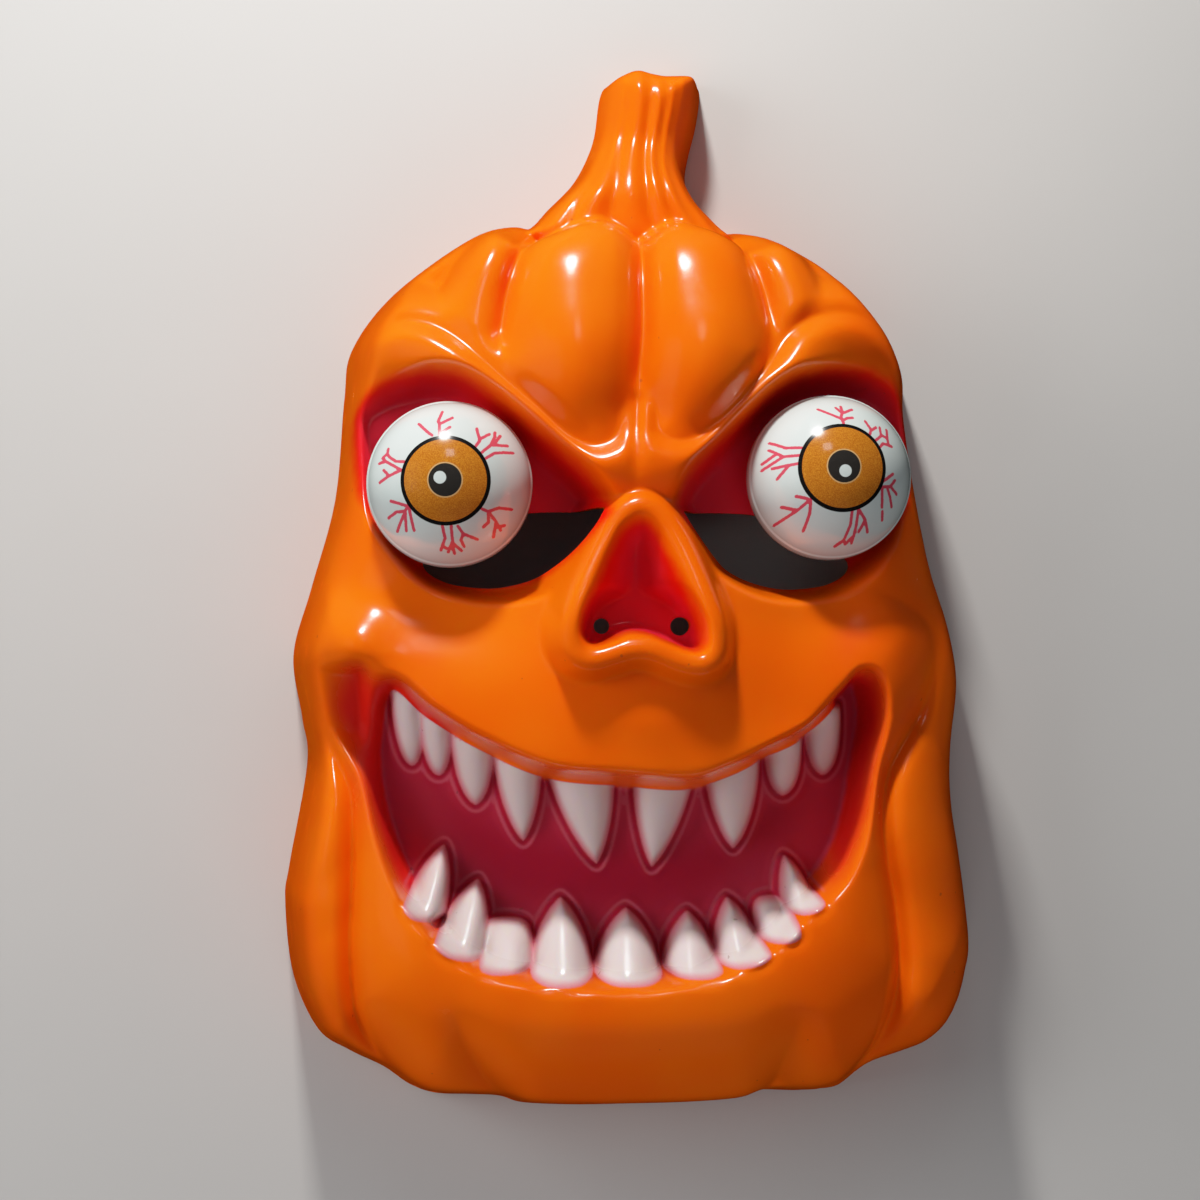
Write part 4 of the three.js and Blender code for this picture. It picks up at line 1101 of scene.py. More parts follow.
def mark_sharp(mesh: bpy.types.Mesh, pairs: Array) -> None:
    """Keeps shading from running over some edges.

    Args:
        mesh: the mesh that they are in.
        pairs: the two point numbers of each edge.
    """
    wanted = {tuple(sorted(pair)) for pair in pairs.tolist()}
    sharp = mesh.attributes.get("sharp_edge") or mesh.attributes.new("sharp_edge", "BOOLEAN", "EDGE")
    flags = [tuple(sorted(edge.vertices)) in wanted for edge in mesh.edges]
    sharp.data.foreach_set("value", flags)


def store(mesh: bpy.types.Mesh, name: str, values: Array) -> None:
    """Keeps one number for each point of a mesh, for its material to read."""
    layer = mesh.attributes.new(name, "FLOAT", "POINT")
    layer.data.foreach_set("value", np.ascontiguousarray(values, np.float32))


@dataclass(frozen=True)
class Clouds:
    """A cloudy pattern: its size in mm, its finer layers, and where it starts and covers."""

    size: float
    detail: float
    start: float
    end: float


class Wiring:
    """A material's nodes, with short ways to add and join them."""

    def __init__(self, name: str) -> None:
        """Starts a material whose patterns lie on the object's own place.

        Args:
            name: name of the material.
        """
        self.material = bpy.data.materials.new(name)
        self.material.use_nodes = True
        self.tree = self.material.node_tree
        self.shader = self.tree.nodes["Principled BSDF"]
        self.place = self.add("ShaderNodeTexCoord").outputs["Object"]

    def add(self, kind: str, **settings: object) -> bpy.types.Node:
        """Adds a node.

        Args:
            kind: the node's type.
            settings: options by name.

        Returns:
            The node.
        """
        node = self.tree.nodes.new(kind)
        for name, value in settings.items():
            setattr(node, name, value)
        return node

    def feed(self, socket: bpy.types.NodeSocket, value: object) -> None:
        """Joins another socket to this one, or gives it a plain value.

        Args:
            socket: the input.
            value: what feeds it.
        """
        if isinstance(value, bpy.types.NodeSocket):
            self.tree.links.new(value, socket)
        else:
            socket.default_value = value

    def dress(self, inputs: dict[str, object]) -> None:
        """Feeds the shader's own sockets by name."""
        for name, value in inputs.items():
            self.feed(self.shader.inputs[name], value)

    def math(self, operation: str, *values: object) -> bpy.types.NodeSocket:
        """Works out a number.

        Args:
            operation: what is done.
            values: one to three numbers or sockets.

        Returns:
            The result.
        """
        node = self.add("ShaderNodeMath", operation=operation)
        for socket, value in zip(node.inputs, values):
            self.feed(socket, value)
        return node.outputs[0]

    def total(self, *values: object) -> bpy.types.NodeSocket:
        """Adds up several numbers."""
        return reduce(lambda a, b: self.math("ADD", a, b), values)

    def product(self, *values: object) -> bpy.types.NodeSocket:
        """Multiplies several numbers."""
        return reduce(lambda a, b: self.math("MULTIPLY", a, b), values)

    def length(self, *values: object) -> bpy.types.NodeSocket:
        """Square root of the sum of squares."""
        return self.math("SQRT", self.total(*(self.product(value, value) for value in values)))

    def step(self, value: object, start: float, end: float) -> bpy.types.NodeSocket:
        """Makes a smooth step.

        Args:
            value: the number that is looked at.
            start: where the step is 0.
            end: where the step is 1.

        Returns:
            The step.
        """
        node = self.add("ShaderNodeMapRange", interpolation_type="SMOOTHSTEP")
        for name, amount in {"Value": value, "From Min": start, "From Max": end}.items():
            self.feed(node.inputs[name], amount)
        return node.outputs["Result"]

    def scaled(self, value: object, low: float, high: float) -> bpy.types.NodeSocket:
        """Spreads a number from 0 to 1 over low to high."""
        return self.math("MULTIPLY_ADD", value, high - low, low)

    def tint(self, amount: object, under: object, over: object) -> bpy.types.NodeSocket:
        """Lays one colour over another.

        Args:
            amount: how much of the upper one shows, from 0 to 1.
            under: the lower colour or its socket.
            over: the upper colour or its socket.

        Returns:
            The mixed colour.
        """
        node = self.add("ShaderNodeMix", data_type="RGBA")
        factor, below, above = node.inputs[0], node.inputs[6], node.inputs[7]
        self.feed(factor, amount)
        for socket, colour in ((below, under), (above, over)):
            self.feed(socket, (*colour, 1) if isinstance(colour, tuple) else colour)
        return node.outputs[2]

    def noise(self, size: float, detail: float = 2) -> bpy.types.NodeSocket:
        """Makes a cloudy pattern.

        Args:
            size: size of the clouds, in mm.
            detail: how many finer layers it has.

        Returns:
            The pattern, from 0 to 1.
        """
        node = self.add("ShaderNodeTexNoise")
        for name, value in {"Vector": self.place, "Scale": 1 / (size * MM), "Detail": detail}.items():
            self.feed(node.inputs[name], value)
        return node.outputs["Fac"]

    def clouds(self, pattern: Clouds) -> bpy.types.NodeSocket:
        """The amount from 0 to 1 that a cloudy pattern covers."""
        return self.step(self.noise(pattern.size, pattern.detail), pattern.start, pattern.end)

    def stored(self, name: str) -> bpy.types.NodeSocket:
        """Reads a number kept on the mesh."""
        return self.add("ShaderNodeAttribute", attribute_name=name).outputs["Fac"]

    def axes(self, where: bpy.types.NodeSocket | None = None) -> bpy.types.NodeOutputs:
        """Takes a place apart.

        Args:
            where: the place, or the object's own one.

        Returns:
            Its x, y and z.
        """
        node = self.add("ShaderNodeSeparateXYZ")
        self.feed(node.inputs[0], where or self.place)
        return node.outputs

    def bump(self, height: object, depth: float, under: object = None) -> bpy.types.NodeSocket:
        """Roughens the surface.

        Args:
            height: pattern from 0 to 1.
            depth: its full depth in mm.
            under: another bump that lies under it.

        Returns:
            The normal.
        """
        node = self.add("ShaderNodeBump")
        inputs = {"Strength": 1, "Distance": depth * MM, "Height": height}
        if under is not None:
            inputs["Normal"] = under
        for name, value in inputs.items():
            self.feed(node.inputs[name], value)
        return node.outputs["Normal"]


@dataclass(frozen=True)
class MouldedOrange:
    """Glossy moulded plastic with airbrushed crimson and off-white teeth, with painted shade and a partly
    painted highlight round each tooth.

    Pairs say where a paint starts and where it covers, as distances in mm inside the edge of the painted
    place or as heights in mm, and those named "zone" as places across or up the face in metres.
    """

    orange: Point = (0.84, 0.095, 0.001)
    warm: Point = (0.88, 0.12, 0.002)
    bright_red: Point = (0.8, 0.008, 0.002)
    deep_red: Point = (0.78, 0.025, 0.055)
    mouth_red: Point = (0.72, 0.012, 0.006)
    # Crimson for the painted shade just outside each tooth's edge.
    crimson: Point = (0.3, 0.004, 0.02)
    mouth_pink: Point = (0.52, 0.03, 0.07)
    mouth_dark: Point = (0.36, 0.008, 0.03)
    # Pink for the line round each tooth: partly pink gum paint, partly painted highlight on the gum
    # ridge's crest.
    gum_pink_and_highlight: Point = (0.62, 0.13, 0.18)
    tooth_white: Point = (0.62, 0.52, 0.51)
    tooth_pink: Point = (0.6, 0.17, 0.21)
    dirt: Point = (0.09, 0.03, 0.015)
    warmth: Clouds = Clouds(55, 2, 0.35, 0.65)
    specks: Clouds = Clouds(2.4, 0, 0.875, 0.885)
    speck_amount: float = 0.4
    gloss: float = 0.18
    paint_gloss: float = 0.34
    scuffs: Clouds = Clouds(9, 8, 0.55, 0.8)
    scuff_amount: float = 0.1
    waves: Point = (7, 1)
    wave_depth: float = 0.05
    grain: Point = (0.7, 3)
    grain_depth: float = 0.008
    spray: Point = (5, 4)
    spray_spread: float = 2
    socket_spray: float = 0.4
    socket_edge: Point = (-0.8, 3.5)
    socket_inner: Point = (2, 8)
    socket_height: Point = (60, 44)
    brow_zone: Point = (0.004, 0.026)
    brow_reach: float = 5
    nose_spray: float = 0.3
    nose_edge: Point = (-1, 2.5)
    nose_height: Point = (78, 63)
    mouth_spray: float = 0.25
    mouth_edge: Point = (-0.2, 1.4)
    mouth_inner: Point = (4, 26)
    wall_edge: Point = (-12, -3)
    wall_height: Point = (33, 11)
    wall_zone: Point = (0.05, 0.064)
    corner_zone: Point = (-0.056, -0.04)
    corner_reach: float = 8
    lip_edge: Point = (-5, -2)
    lip_zone: Point = (-0.09, -0.08)
    floor_middle: float = 47
    floor_drop: float = 15
    floor_half: float = 80
    tooth_fray: float = 0.2
    tooth_edge: Point = (-0.2, 0.5)
    tooth_inner: Point = (0, 2.6)
    tooth_place: Point = (-0.5, 1)
    foot_zone: Point = (-0.082, -0.09)
    foot_reach: float = 2.5
    # Pink line on the gum ridge's crest round each tooth, partly paint and partly painted highlight.
    line_outside: Point = (-2.9, -1.9)
    line_inside: Point = (-0.9, -1.9)
    line_amount: float = 0.5
    # Painted shade: crimson just outside each tooth's edge, where the tooth meets the floor and the lip.
    shade_edge: Point = (-1.7, -0.3)
    shade_amount: float = 0.6

    def material(self) -> bpy.types.Material:
        """Builds the material.

        Returns:
            The finish of the whole moulded sheet.
        """
        w = Wiring("moulded_orange_plastic")
        spray = w.scaled(w.noise(*self.spray), -self.spray_spread, self.spray_spread)
        grain = w.noise(*self.grain)
        z = w.math("DIVIDE", w.axes()["Z"], MM)
        colour = w.tint(w.clouds(self.warmth), self.orange, self.warm)
        colour = self.paint_socket(w, colour, spray, z)
        colour = self.paint_nose(w, colour, spray, z)
        mouth, colour = self.paint_mouth(w, colour, spray, z)
        colour = self.paint_teeth(w, colour, grain)
        specks = w.product(w.clouds(self.specks), self.speck_amount)
        scuffs = w.product(w.clouds(self.scuffs), self.scuff_amount)
        waves = w.bump(w.noise(*self.waves), self.wave_depth)
        w.dress({
            "Base Color": w.tint(specks, colour, self.dirt),
            "Roughness": w.total(w.scaled(mouth, self.gloss, self.paint_gloss), scuffs),
            "Normal": w.bump(grain, self.grain_depth, waves),
            "IOR": 1.45,
            "Specular IOR Level": 0.4,
            "Subsurface Weight": 0.3,
            "Subsurface Radius": (1, 0.25, 0.05),
            "Subsurface Scale": 0.002,
        })
        return w.material

    def paint_socket(self, w: Wiring, colour: object, spray: object, z: object) -> object:
        """Red on the socket walls that deepens to maroon on the floor.

        Args:
            w: the material's nodes.
            colour: the colour so far.
            spray: uneven spread of the paint, in mm.
            z: height in mm.

        Returns:
            The colour with the paint.
        """
        brow = w.step(w.axes()["Y"], *self.brow_zone)
        edge = w.total(
            w.stored("socket_edge"), w.product(spray, self.socket_spray), w.product(brow, self.brow_reach),
        )
        depth = w.step(w.total(z, spray), *self.socket_height)
        deep = w.product(w.step(edge, *self.socket_inner), depth)
        red = w.tint(w.step(edge, *self.socket_edge), colour, self.bright_red)
        return w.tint(deep, red, self.deep_red)

    def paint_nose(self, w: Wiring, colour: object, spray: object, z: object) -> object:
        """The same reds inside the nose.

        Args:
            w: the material's nodes.
            colour: the colour so far.
            spray: uneven spread of the paint, in mm.
            z: height in mm.

        Returns:
            The colour with the paint.
        """
        edge = w.total(w.stored("nose_edge"), w.product(spray, self.nose_spray))
        within = w.step(edge, *self.nose_edge)
        deep = w.product(within, w.step(w.total(z, spray), *self.nose_height))
        return w.tint(deep, w.tint(within, colour, self.bright_red), self.deep_red)

    def paint_mouth(
        self, w: Wiring, colour: object, spray: object, z: object
    ) -> tuple[object, object]:
        """Crimson over the mouth, bright red where it runs out on the side walls.

        Args:
            w: the material's nodes.
            colour: the colour so far.
            spray: uneven spread of the paint, in mm.
            z: height in mm.

        Returns:
            The amount of paint, and the colour with it.
        """
        x, y, _ = w.axes()
        across = w.math("DIVIDE", x, self.floor_half * MM)
        over = w.total(z, w.product(w.product(across, across), self.floor_drop))
        over = w.total(w.math("SUBTRACT", over, self.floor_middle), spray)
        edge = w.total(w.stored("mouth_edge"), w.product(spray, self.mouth_spray))
        corner = w.product(w.step(y, *self.corner_zone), self.corner_reach)
        wall = w.product(
            w.step(w.total(edge, corner), *self.wall_edge),
            w.step(over, *self.wall_height),
            w.step(w.math("ABSOLUTE", x), *self.wall_zone),
        )
        amount = w.step(edge, *self.mouth_edge)
        floor = w.tint(w.step(w.stored("mouth_edge"), *self.mouth_inner), self.mouth_pink, self.mouth_dark)
        under_lip = w.product(w.step(edge, *self.lip_edge), w.step(y, *self.lip_zone))
        covered = w.math("MAXIMUM", w.math("MAXIMUM", amount, wall), under_lip)
        return covered, w.tint(amount, w.tint(wall, colour, self.mouth_red), floor)

    def paint_teeth(self, w: Wiring, colour: object, grain: object) -> object:
        """Off-white teeth with a breath of pink along their edges, painted shade just outside them and a
        pink line round them that is partly painted highlight.

        Args:
            w: the material's nodes.
            colour: the colour so far.
            grain: fine pattern that frays the edge of the paint.

        Returns:
            The colour with the teeth.
        """
        edge = w.total(w.stored("tooth_edge"), w.scaled(grain, -self.tooth_fray, self.tooth_fray))
        foot = w.product(w.step(w.axes()["Y"], *self.foot_zone), self.foot_reach)
        within = w.step(w.total(w.stored("mouth_edge"), foot), *self.tooth_place)
        # Pink line on the crest of the gum ridge round each tooth: partly pink gum paint, partly painted
        # highlight.
        line = w.product(w.step(edge, *self.line_outside), w.step(edge, *self.line_inside), within)
        colour = w.tint(w.product(line, self.line_amount), colour, self.gum_pink_and_highlight)
        # Painted shade: crimson just outside each tooth's edge, darkest at the edge, stands in for the
        # shade where the tooth meets the floor and the lip.
        shade = w.product(w.step(edge, *self.shade_edge), within, self.shade_amount)
        colour = w.tint(shade, colour, self.crimson)
        white = w.tint(w.step(edge, *self.tooth_inner), self.tooth_pink, self.tooth_white)
        return w.tint(w.step(edge, *self.tooth_edge), colour, white)


@dataclass(frozen=True)
class PrintedEye:
    """Glossy white with a printed iris and thin crimson veins. Sizes in mm across the axis."""

    name: str
    middle: Point
    axis: Point
    pupil_dot: Point
    white: Point = (0.57, 0.64, 0.62)
    shaded: float = 0.97
    black: Point = (0.006, 0.006, 0.006)
    charcoal: Point = (0.02, 0.018, 0.016)
    gold: Point = (0.38, 0.1, 0.008)
    gold_light: Point = (0.56, 0.2, 0.018)
    gold_rim: Point = (0.62, 0.42, 0.2)
    vein: Point = (0.6, 0.01, 0.05)
    ring_radius: float = 13.35
    iris_radius: float = 12.2
    rim_radius: float = 5.25
    rim_ink: float = 0.7
    pupil_radius: float = 4.9
    dot_radius: float = 1.85
    print_blur: float = 0.07
    front: Point = (2, 3)
    vein_half: float = 0.48
    vein_blur: float = 0.1
    vein_grain: float = 0.8
    vein_fray: float = 0.15
    vein_ink: float = 0.92
    shading: Clouds = Clouds(30, 2, 0.3, 0.7)
    flecks: Clouds = Clouds(0.35, 3, 0.35, 0.7)
    smears: Clouds = Clouds(6, 6, 0.4, 0.8)
    gloss: Point = (0.16, 0.24)
    waves: Point = (5, 1)
    wave_depth: float = 0.012

    def disc(self, w: Wiring, distance: object, radius: float) -> bpy.types.NodeSocket:
        """Amount of ink within a radius, with a crisp printed edge."""
        return w.step(distance, radius + self.print_blur, radius - self.print_blur)

    def material(self) -> bpy.types.Material:
        """Builds the material.

        Returns:
            The finish of one eyeball.
        """
        w = Wiring(self.name)
        turn = Vector((0, 0, 1)).rotation_difference(Vector(self.axis)).to_euler()
        local = w.add("ShaderNodeMapping", vector_type="TEXTURE")
        frame_of_eye = {"Vector": w.place, "Location": self.middle, "Rotation": turn, "Scale": (MM,) * 3}
        for name, value in frame_of_eye.items():
            w.feed(local.inputs[name], value)
        x, y, z = w.axes(local.outputs[0])
        front = w.step(z, *self.front)
        distance = w.length(x, y)
        from_dot = [w.math("SUBTRACT", place, dot) for place, dot in zip((x, y), self.pupil_dot)]
        shaded = tuple(self.shaded * c for c in self.white)
        colour = w.tint(w.clouds(self.shading), self.white, shaded)
        fray = w.scaled(w.noise(self.vein_grain), -self.vein_fray, self.vein_fray)
        edge = self.vein_half + self.vein_blur, self.vein_half - self.vein_blur
        vein = w.step(w.total(w.stored("vein"), fray), *edge)
        colour = w.tint(w.product(vein, self.vein_ink), colour, self.vein)
        gold = w.tint(w.clouds(self.flecks), self.gold, self.gold_light)
        prints = (
            (distance, self.ring_radius, self.black),
            (distance, self.iris_radius, gold),
            (distance, self.rim_radius, self.gold_rim, self.rim_ink),
            (distance, self.pupil_radius, self.charcoal),
            (w.length(*from_dot), self.dot_radius, self.white),
        )
        for away, radius, ink, *amount in prints:
            colour = w.tint(w.product(front, self.disc(w, away, radius), *amount), colour, ink)
        w.dress({
            "Base Color": colour,
            "Roughness": w.scaled(w.clouds(self.smears), *self.gloss),
            "Normal": w.bump(w.noise(*self.waves), self.wave_depth),
            "IOR": 1.52,
            "Coat Weight": 0.6,
            "Coat Roughness": 0.05,
            "Subsurface Weight": 0.1,
            "Subsurface Radius": (1, 0.8, 0.7),
            "Subsurface Scale": 0.0015,
        })
        return w.material


@dataclass(frozen=True)
class PaleFloor:
    """Matt pale studio paper."""

    shade: Point = (0.5, 0.49, 0.475)
    darker: float = 0.96
    clouds: Point = (60, 3)
    roughness: float = 0.85

    def material(self) -> bpy.types.Material:
        """Builds the material.

        Returns:
            The finish of the floor.
        """
        w = Wiring("pale_floor")
        darker = tuple(self.darker * c for c in self.shade)
        colour = w.tint(w.noise(*self.clouds), self.shade, darker)
        w.dress({"Base Color": colour, "Roughness": self.roughness})
        return w.material


class Side(Enum):
    """The viewer's left and right."""

    LEFT = "left"
    RIGHT = "right"


@dataclass
class Eyeball:
    """A ball of two half shells: the front one is a little smaller and leaves a seam."""

    side: Side
    middle: Point
    axis: Point
    pupil_dot: Point
    veins: Sequence[Sequence[Point]]
    shift: Array
    radius: float = 25.4
    back: float = 20.6
    seam: float = 4
    step: float = 0.35
    centre_height: float = 57.4
    around: int = 256
    rings: int = 180
    no_vein: float = 5.0

    def centre(self) -> Array:
        """Middle of the ball in the frame, in mm."""
        return np.array([*self.middle, self.centre_height]) + self.shift

    def tree(self, finish: bpy.types.Material) -> bpy.types.NodeTree:
        """Geometry nodes that shape the ball from its named sizes.

        Args:
            finish: the material that the ball takes.

        Returns:
            The node tree.
        """
        tree = bpy.data.node_groups.new(f"{self.side.value}_ball", "GeometryNodeTree")
        tree.interface.new_socket("Geometry", in_out="OUTPUT", socket_type="NodeSocketGeometry")
        for name in ("Radius", "Back", "Seam", "Front scale"):
            tree.interface.new_socket(name, in_out="INPUT", socket_type="NodeSocketFloat")
        tree.interface.new_socket("Middle", in_out="INPUT", socket_type="NodeSocketVector")
        sizes = tree.nodes.new("NodeGroupInput").outputs

        def add(kind: str, wires: dict[str | int, object], **settings: object) -> bpy.types.Node:
            """Adds a node.

            Args:
                kind: the node's type.
                wires: what feeds each input, by name or number.
                settings: options by name.

            Returns:
                The node.
            """
            node = tree.nodes.new(kind)
            for name, value in settings.items():
                setattr(node, name, value)
            for key, value in wires.items():
                if isinstance(value, bpy.types.NodeSocket):
                    tree.links.new(value, node.inputs[key])
                else:
                    node.inputs[key].default_value = value
            return node

        grid = {"Segments": self.around, "Rings": self.rings, "Radius": sizes["Radius"]}
        ball = add("GeometryNodeMeshUVSphere", grid)
        place = add("GeometryNodeInputPosition", {})
        level = add("ShaderNodeSeparateXYZ", {0: place.outputs[0]})
        over_seam = {0: level.outputs["Z"], 1: sizes["Seam"]}
        is_front = add("ShaderNodeMath", over_seam, operation="GREATER_THAN")
        choice = {"Factor": is_front.outputs[0], "A": 1.0, "B": sizes["Front scale"]}
        scale = add("ShaderNodeMix", choice)
        shrunk = {0: place.outputs[0], "Scale": scale.outputs[0]}
        scaled = add("ShaderNodeVectorMath", shrunk, operation="SCALE")
        axes = add("ShaderNodeSeparateXYZ", {0: scaled.outputs[0]})
        low = add("ShaderNodeMath", {0: sizes["Back"], 1: -1.0}, operation="MULTIPLY")
        flat = add("ShaderNodeMath", {0: axes.outputs["Z"], 1: low.outputs[0]}, operation="MAXIMUM")
        kept = {"X": axes.outputs["X"], "Y": axes.outputs["Y"], "Z": flat.outputs[0]}
        joined = add("ShaderNodeCombineXYZ", kept)
        moved = add("ShaderNodeVectorMath", {0: joined.outputs[0], 1: sizes["Middle"]}, operation="ADD")
        shape = {"Geometry": ball.outputs["Mesh"], "Position": moved.outputs[0]}
        shaped = add("GeometryNodeSetPosition", shape)
        smooth = add("GeometryNodeSetShadeSmooth", {"Geometry": shaped.outputs[0]})
        real = add("GeometryNodeRealizeInstances", {"Geometry": smooth.outputs[0]})
        dressed = add("GeometryNodeSetMaterial", {"Geometry": real.outputs[0], "Material": finish})
        add("NodeGroupOutput", {"Geometry": dressed.outputs[0]})
        return tree

    def build(self) -> bpy.types.Object:
        """Shapes, bakes and dresses the ball.

        Returns:
            The eyeball as a plain mesh object.
        """
        centre = self.centre()
        side, middle = self.side.value, tuple(centre * MM)
        finish = PrintedEye(f"{side}_printed_eye", middle, self.axis, self.pupil_dot)
        tree = self.tree(finish.material())
        piece = bpy.data.objects.new(f"printed_{side}_eyeball", bpy.data.meshes.new("blank"))
        bpy.context.scene.collection.objects.link(piece)
        modifier = piece.modifiers.new("ball", "NODES")
        modifier.node_group = tree
        sizes = {
            "Radius": self.radius * MM, "Back": self.back * MM, "Seam": self.seam * MM,
            "Front scale": 1 - self.step / self.radius, "Middle": middle,
        }
        for socket in tree.interface.items_tree:
            if socket.in_out == "INPUT":
                modifier[socket.identifier] = sizes[socket.name]
        seen = piece.evaluated_get(bpy.context.evaluated_depsgraph_get())
        mesh = bpy.data.meshes.new_from_object(seen)
        piece.modifiers.remove(modifier)
        piece.data = mesh
        points = np.zeros(len(mesh.vertices) * 3)
        mesh.vertices.foreach_get("co", points)
        store(mesh, "vein", self.vein_distance(points.reshape(-1, 3) / MM - centre))
        return piece

    def vein_distance(self, points: Array) -> Array:
        """Works out how far points are from the nearest vein, seen along the eye's axis.

        Args:
            points: places from the ball's middle, in mm.

        Returns:
            The distances in mm.
        """
        turn = Vector(self.axis).rotation_difference(Vector((0, 0, 1))).to_matrix()
        local = points @ np.array(turn).T
        nearest = np.full(len(points), self.no_vein)
        for vein in self.veins:
            polar = np.radians([angle for angle, _ in vein])
            reach = np.array([radius for _, radius in vein])
            line = np.column_stack([reach * np.cos(polar), reach * np.sin(polar)])
            for a, b in zip(line, line[1:]):
                e = b - a
                t = clip((local[:, :2] - a) @ e / (e @ e), 0, 1)
                gap = np.linalg.norm(local[:, :2] - a - t[:, None] * e, axis=1)
                nearest = np.where(local[:, 2] > 0, np.minimum(nearest, gap), nearest)
        return nearest


@dataclass
class Studio:
    """Pale floor, soft light from the upper left and the photograph's viewpoint."""

    shift: Array
    target: Point = (-9.5, -4, 0)
    distance: float = 700
    turn: float = 3.5
    lens: float = 63
    film: float = 36
    tone: Sequence[Point] = ((0.4, 0.4), (1, 0.8), (2, 1))
    floor_half: float = 3.0
    sky: Point = (0.9, 0.92, 1)
    sky_strength: float = 0.15

    def build(self) -> None:
        """Sets up floor, lights and camera."""
        self.floor()
        self.light("key", (-0.125, 0.6, 0.33), 0.07, 6.4, (1, 0.97, 0.93))
        self.light("left_fill", (-0.9, 0.15, 0.5), 0.7, 6.5, (1, 1, 1)).visible_glossy = False
        self.light("low_fill", (0.1, -0.8, 0.6), 0.7, 2, (1, 1, 1)).visible_glossy = False
        self.light("window", (-0.05, 0.5, 0.66), 0.14, 0.2, (1, 1, 1))
        self.surroundings()
        self.film_response()
        self.camera()

    def film_response(self) -> None:
        """Lets bright parts level off gently, as film does."""
        view = bpy.context.scene.view_settings
        view.view_transform = "Standard"
        view.use_curve_mapping = True
        view.curve_mapping.clip_max_x = self.tone[-1][0]
        curve = view.curve_mapping.curves[3]
        curve.points[1].location = self.tone[-1]
        for place in self.tone[:-1]:
            curve.points.new(*place)
        view.curve_mapping.update()

    def floor(self) -> None:
        """A wide pale floor under the mask."""
        half = self.floor_half
        corners = np.array([[-half, -half, 0], [half, -half, 0], [half, half, 0], [-half, half, 0]])
        plane = mesh_object("studio_floor", corners, np.array([[0, 1, 2], [0, 2, 3]]))
        plane.data.materials.append(PaleFloor().material())
        plane.visible_glossy = False

    def light(
        self, name: str, place: Point, size: float, power: float, colour: Point
    ) -> bpy.types.Object:
        """Sets up a square soft light that faces the mask.

        Args:
            name: name of the light.
            place: where it stands, in metres.
            size: length of its side, in metres.
            power: its power in watts.
            colour: its colour.

        Returns:
            The light.
        """
        lamp = bpy.data.lights.new(name, "AREA")
        lamp.size, lamp.energy, lamp.color = size, power, colour
        stand = bpy.data.objects.new(name, lamp)
        stand.location = place
        stand.rotation_euler = (-Vector(place)).to_track_quat("-Z", "Y").to_euler()
        bpy.context.scene.collection.objects.link(stand)
        return stand

    def surroundings(self) -> None:
        """Even grey light from all round."""
        world = bpy.data.worlds.new("surroundings")
        world.use_nodes = True
        sky = world.node_tree.nodes["Background"]
        sky.inputs["Color"].default_value = (*self.sky, 1)
        sky.inputs["Strength"].default_value = self.sky_strength
        world.cycles_visibility.glossy = False
        bpy.context.scene.world = world

    def camera(self) -> None:
        """Looks down on the mask from just left of and below its middle."""
        turn = math.radians(self.turn)
        back = Vector((-math.sin(turn) * math.cos(turn), -math.sin(turn), math.cos(turn) ** 2))
        right = Vector((0, 1, 0)).cross(back).normalized()
        up = back.cross(right)
        eye = bpy.data.cameras.new("viewpoint")
        eye.lens, eye.sensor_width, eye.clip_start = self.lens, self.film, 0.01
        stand = bpy.data.objects.new("viewpoint", eye)
        middle = Vector((np.array(self.target) + self.shift) * MM)
        turned = Matrix((right, up, back)).transposed().to_4x4()
        stand.matrix_world = Matrix.Translation(middle + back * self.distance * MM) @ turned
        bpy.context.scene.collection.objects.link(stand)
        bpy.context.scene.camera = stand


LEFT_VEINS = (
    ((98, 13.5), (97, 17), (98, 18), (94, 21)), ((97, 17), (85, 19)), ((97, 14), (86, 16)),
    ((116, 19), (111, 15.5), (107, 14)), ((49, 13.5), (50, 15.5), (60, 18)), ((51, 16), (48, 19)),
    ((38, 13.5), (39, 17), (43, 19.5), (46, 20.5)), ((38, 18), (41, 21)), ((39, 17), (31, 21)),
    ((29, 13.5), (30, 16.5), (27, 19), (24, 21.5)), ((167, 13.5), (175, 17), (181, 20)),
    ((175, 17), (170, 19)), ((167, 13.5), (162, 19), (165, 21)), ((162, 19), (160, 20.5)),
    ((156, 13.5), (159, 16), (157, 18.5), (155, 19.5), (151, 20)), ((155, 19.5), (160, 20.5)),
    ((212, 12.5), (217, 15), (231, 19)), ((217, 15), (225, 21)),
    ((217, 15), (212, 17.5), (212, 20.5)), ((212, 14), (200, 17.5)),
    ((217, 13.5), (229, 15.5), (237, 17.5)), ((266, 13.5), (269, 17), (265, 20.5)),
    ((268, 19.5), (270, 20)), ((277, 13.5), (276, 18), (271, 21)), ((276, 18.5), (282, 21)),
    ((275, 18.5), (276, 21.5)), ((285, 14), (288, 16.5), (284, 18), (285, 20)),
    ((288, 16.5), (298, 19.5)), ((322, 13.5), (324, 15.5), (333, 17.5), (337, 21)),
    ((324, 15.5), (316, 17.5), (309, 17.5)), ((324, 15.5), (321, 19), (318, 21.5)),
    ((321, 19), (310, 21.5)), ((319, 20.5), (323, 21.5)),
)
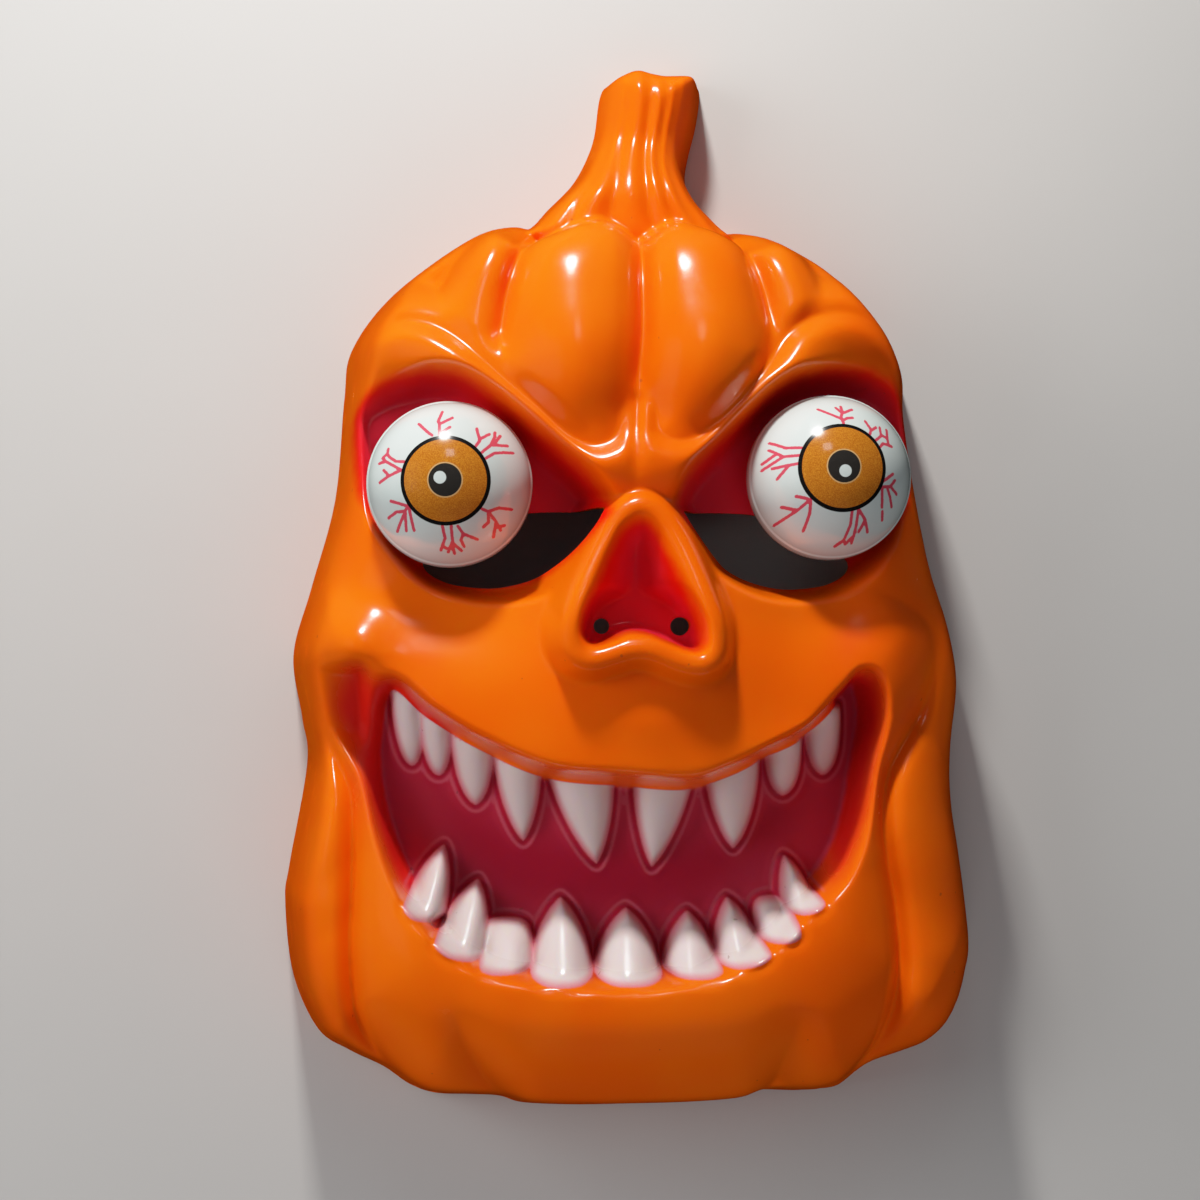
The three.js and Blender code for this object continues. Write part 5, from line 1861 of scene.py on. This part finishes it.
RIGHT_VEINS = (
    ((87, 13.5), (89, 15.5), (87, 17.5), (87, 19.5)), ((89, 15), (100, 17), (108, 19.5)),
    ((87, 17), (92, 19)), ((87, 17), (77, 19)), ((87, 14.5), (82, 15.5), (76, 16)),
    ((50, 13.5), (52, 15), (62, 16.5)), ((51, 15), (49, 17)), ((39, 13), (39, 16), (46, 18)),
    ((39, 16.5), (33, 17.5), (40, 19.5)), ((29, 13.5), (31, 15), (24, 17.5)), ((33, 17.5), (26, 16.5)),
    ((334, 13), (341, 16), (338, 19)), ((341, 16), (349, 17)), ((342, 13), (355, 16)),
    ((338, 15), (331, 17.5), (326, 19.5)), ((334, 13.5), (318, 17)), ((316, 18), (312, 20)),
    ((283, 13), (280, 17), (275, 21), (269, 22.5)), ((275, 21), (277, 22)),
    ((291, 13.5), (286, 17.5), (282, 22)), ((282, 20.5), (277, 22)),
    ((292, 13.5), (296, 17), (296, 20.5)), ((296, 17), (288, 19.5)),
    ((225, 13.5), (224, 18), (221, 24)), ((224, 18), (213, 20.5)), ((222, 14), (212, 16)),
    ((225, 13.5), (235, 16.5), (240, 21)), ((164, 13), (168, 17.5), (163, 21.5)),
    ((168, 17.5), (179, 22.5)), ((166, 19.5), (174, 22.5)), ((154, 13.5), (159, 17.5), (157, 22)),
    ((175, 13), (177, 16), (179, 20)), ((178, 16), (189, 19)),
)


def hand_over(piece: bpy.types.Object, node: str) -> None:
    """Ties a finished piece to the frame and reports it.

    Args:
        piece: the finished object.
        node: the node that it stands for.
    """
    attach(piece, BODY)
    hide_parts(node)
    LOG.info("%s: %d triangles", piece.name, sum(len(p.vertices) - 2 for p in piece.data.polygons))


def main() -> None:
    """Builds the mask, its eyes and the studio, and reports each piece."""
    logging.basicConfig(level=logging.INFO, format="%(name)s: %(message)s")
    shift = np.array([0.098, -2.002, 0])
    face = PumpkinFace()
    face.sculpt()
    LOG.info("relief worked out")
    Studio(shift).build()
    shell = MaskShell(face, shift)
    hand_over(shell.build(), "mask_shell")
    eyes = [
        Eyeball(Side.LEFT, (-59, 27.6), (-0.047, -0.056, 1), (-1.5, 0.7), LEFT_VEINS, shift),
        Eyeball(Side.RIGHT, (57.6, 30.5), (0.027, 0.026, 1), (0.3, -1.4), RIGHT_VEINS, shift),
    ]
    for eye in eyes:
        hand_over(eye.build(), f"{eye.side.value}_eyeball")


if __name__ == "__main__":
    main()
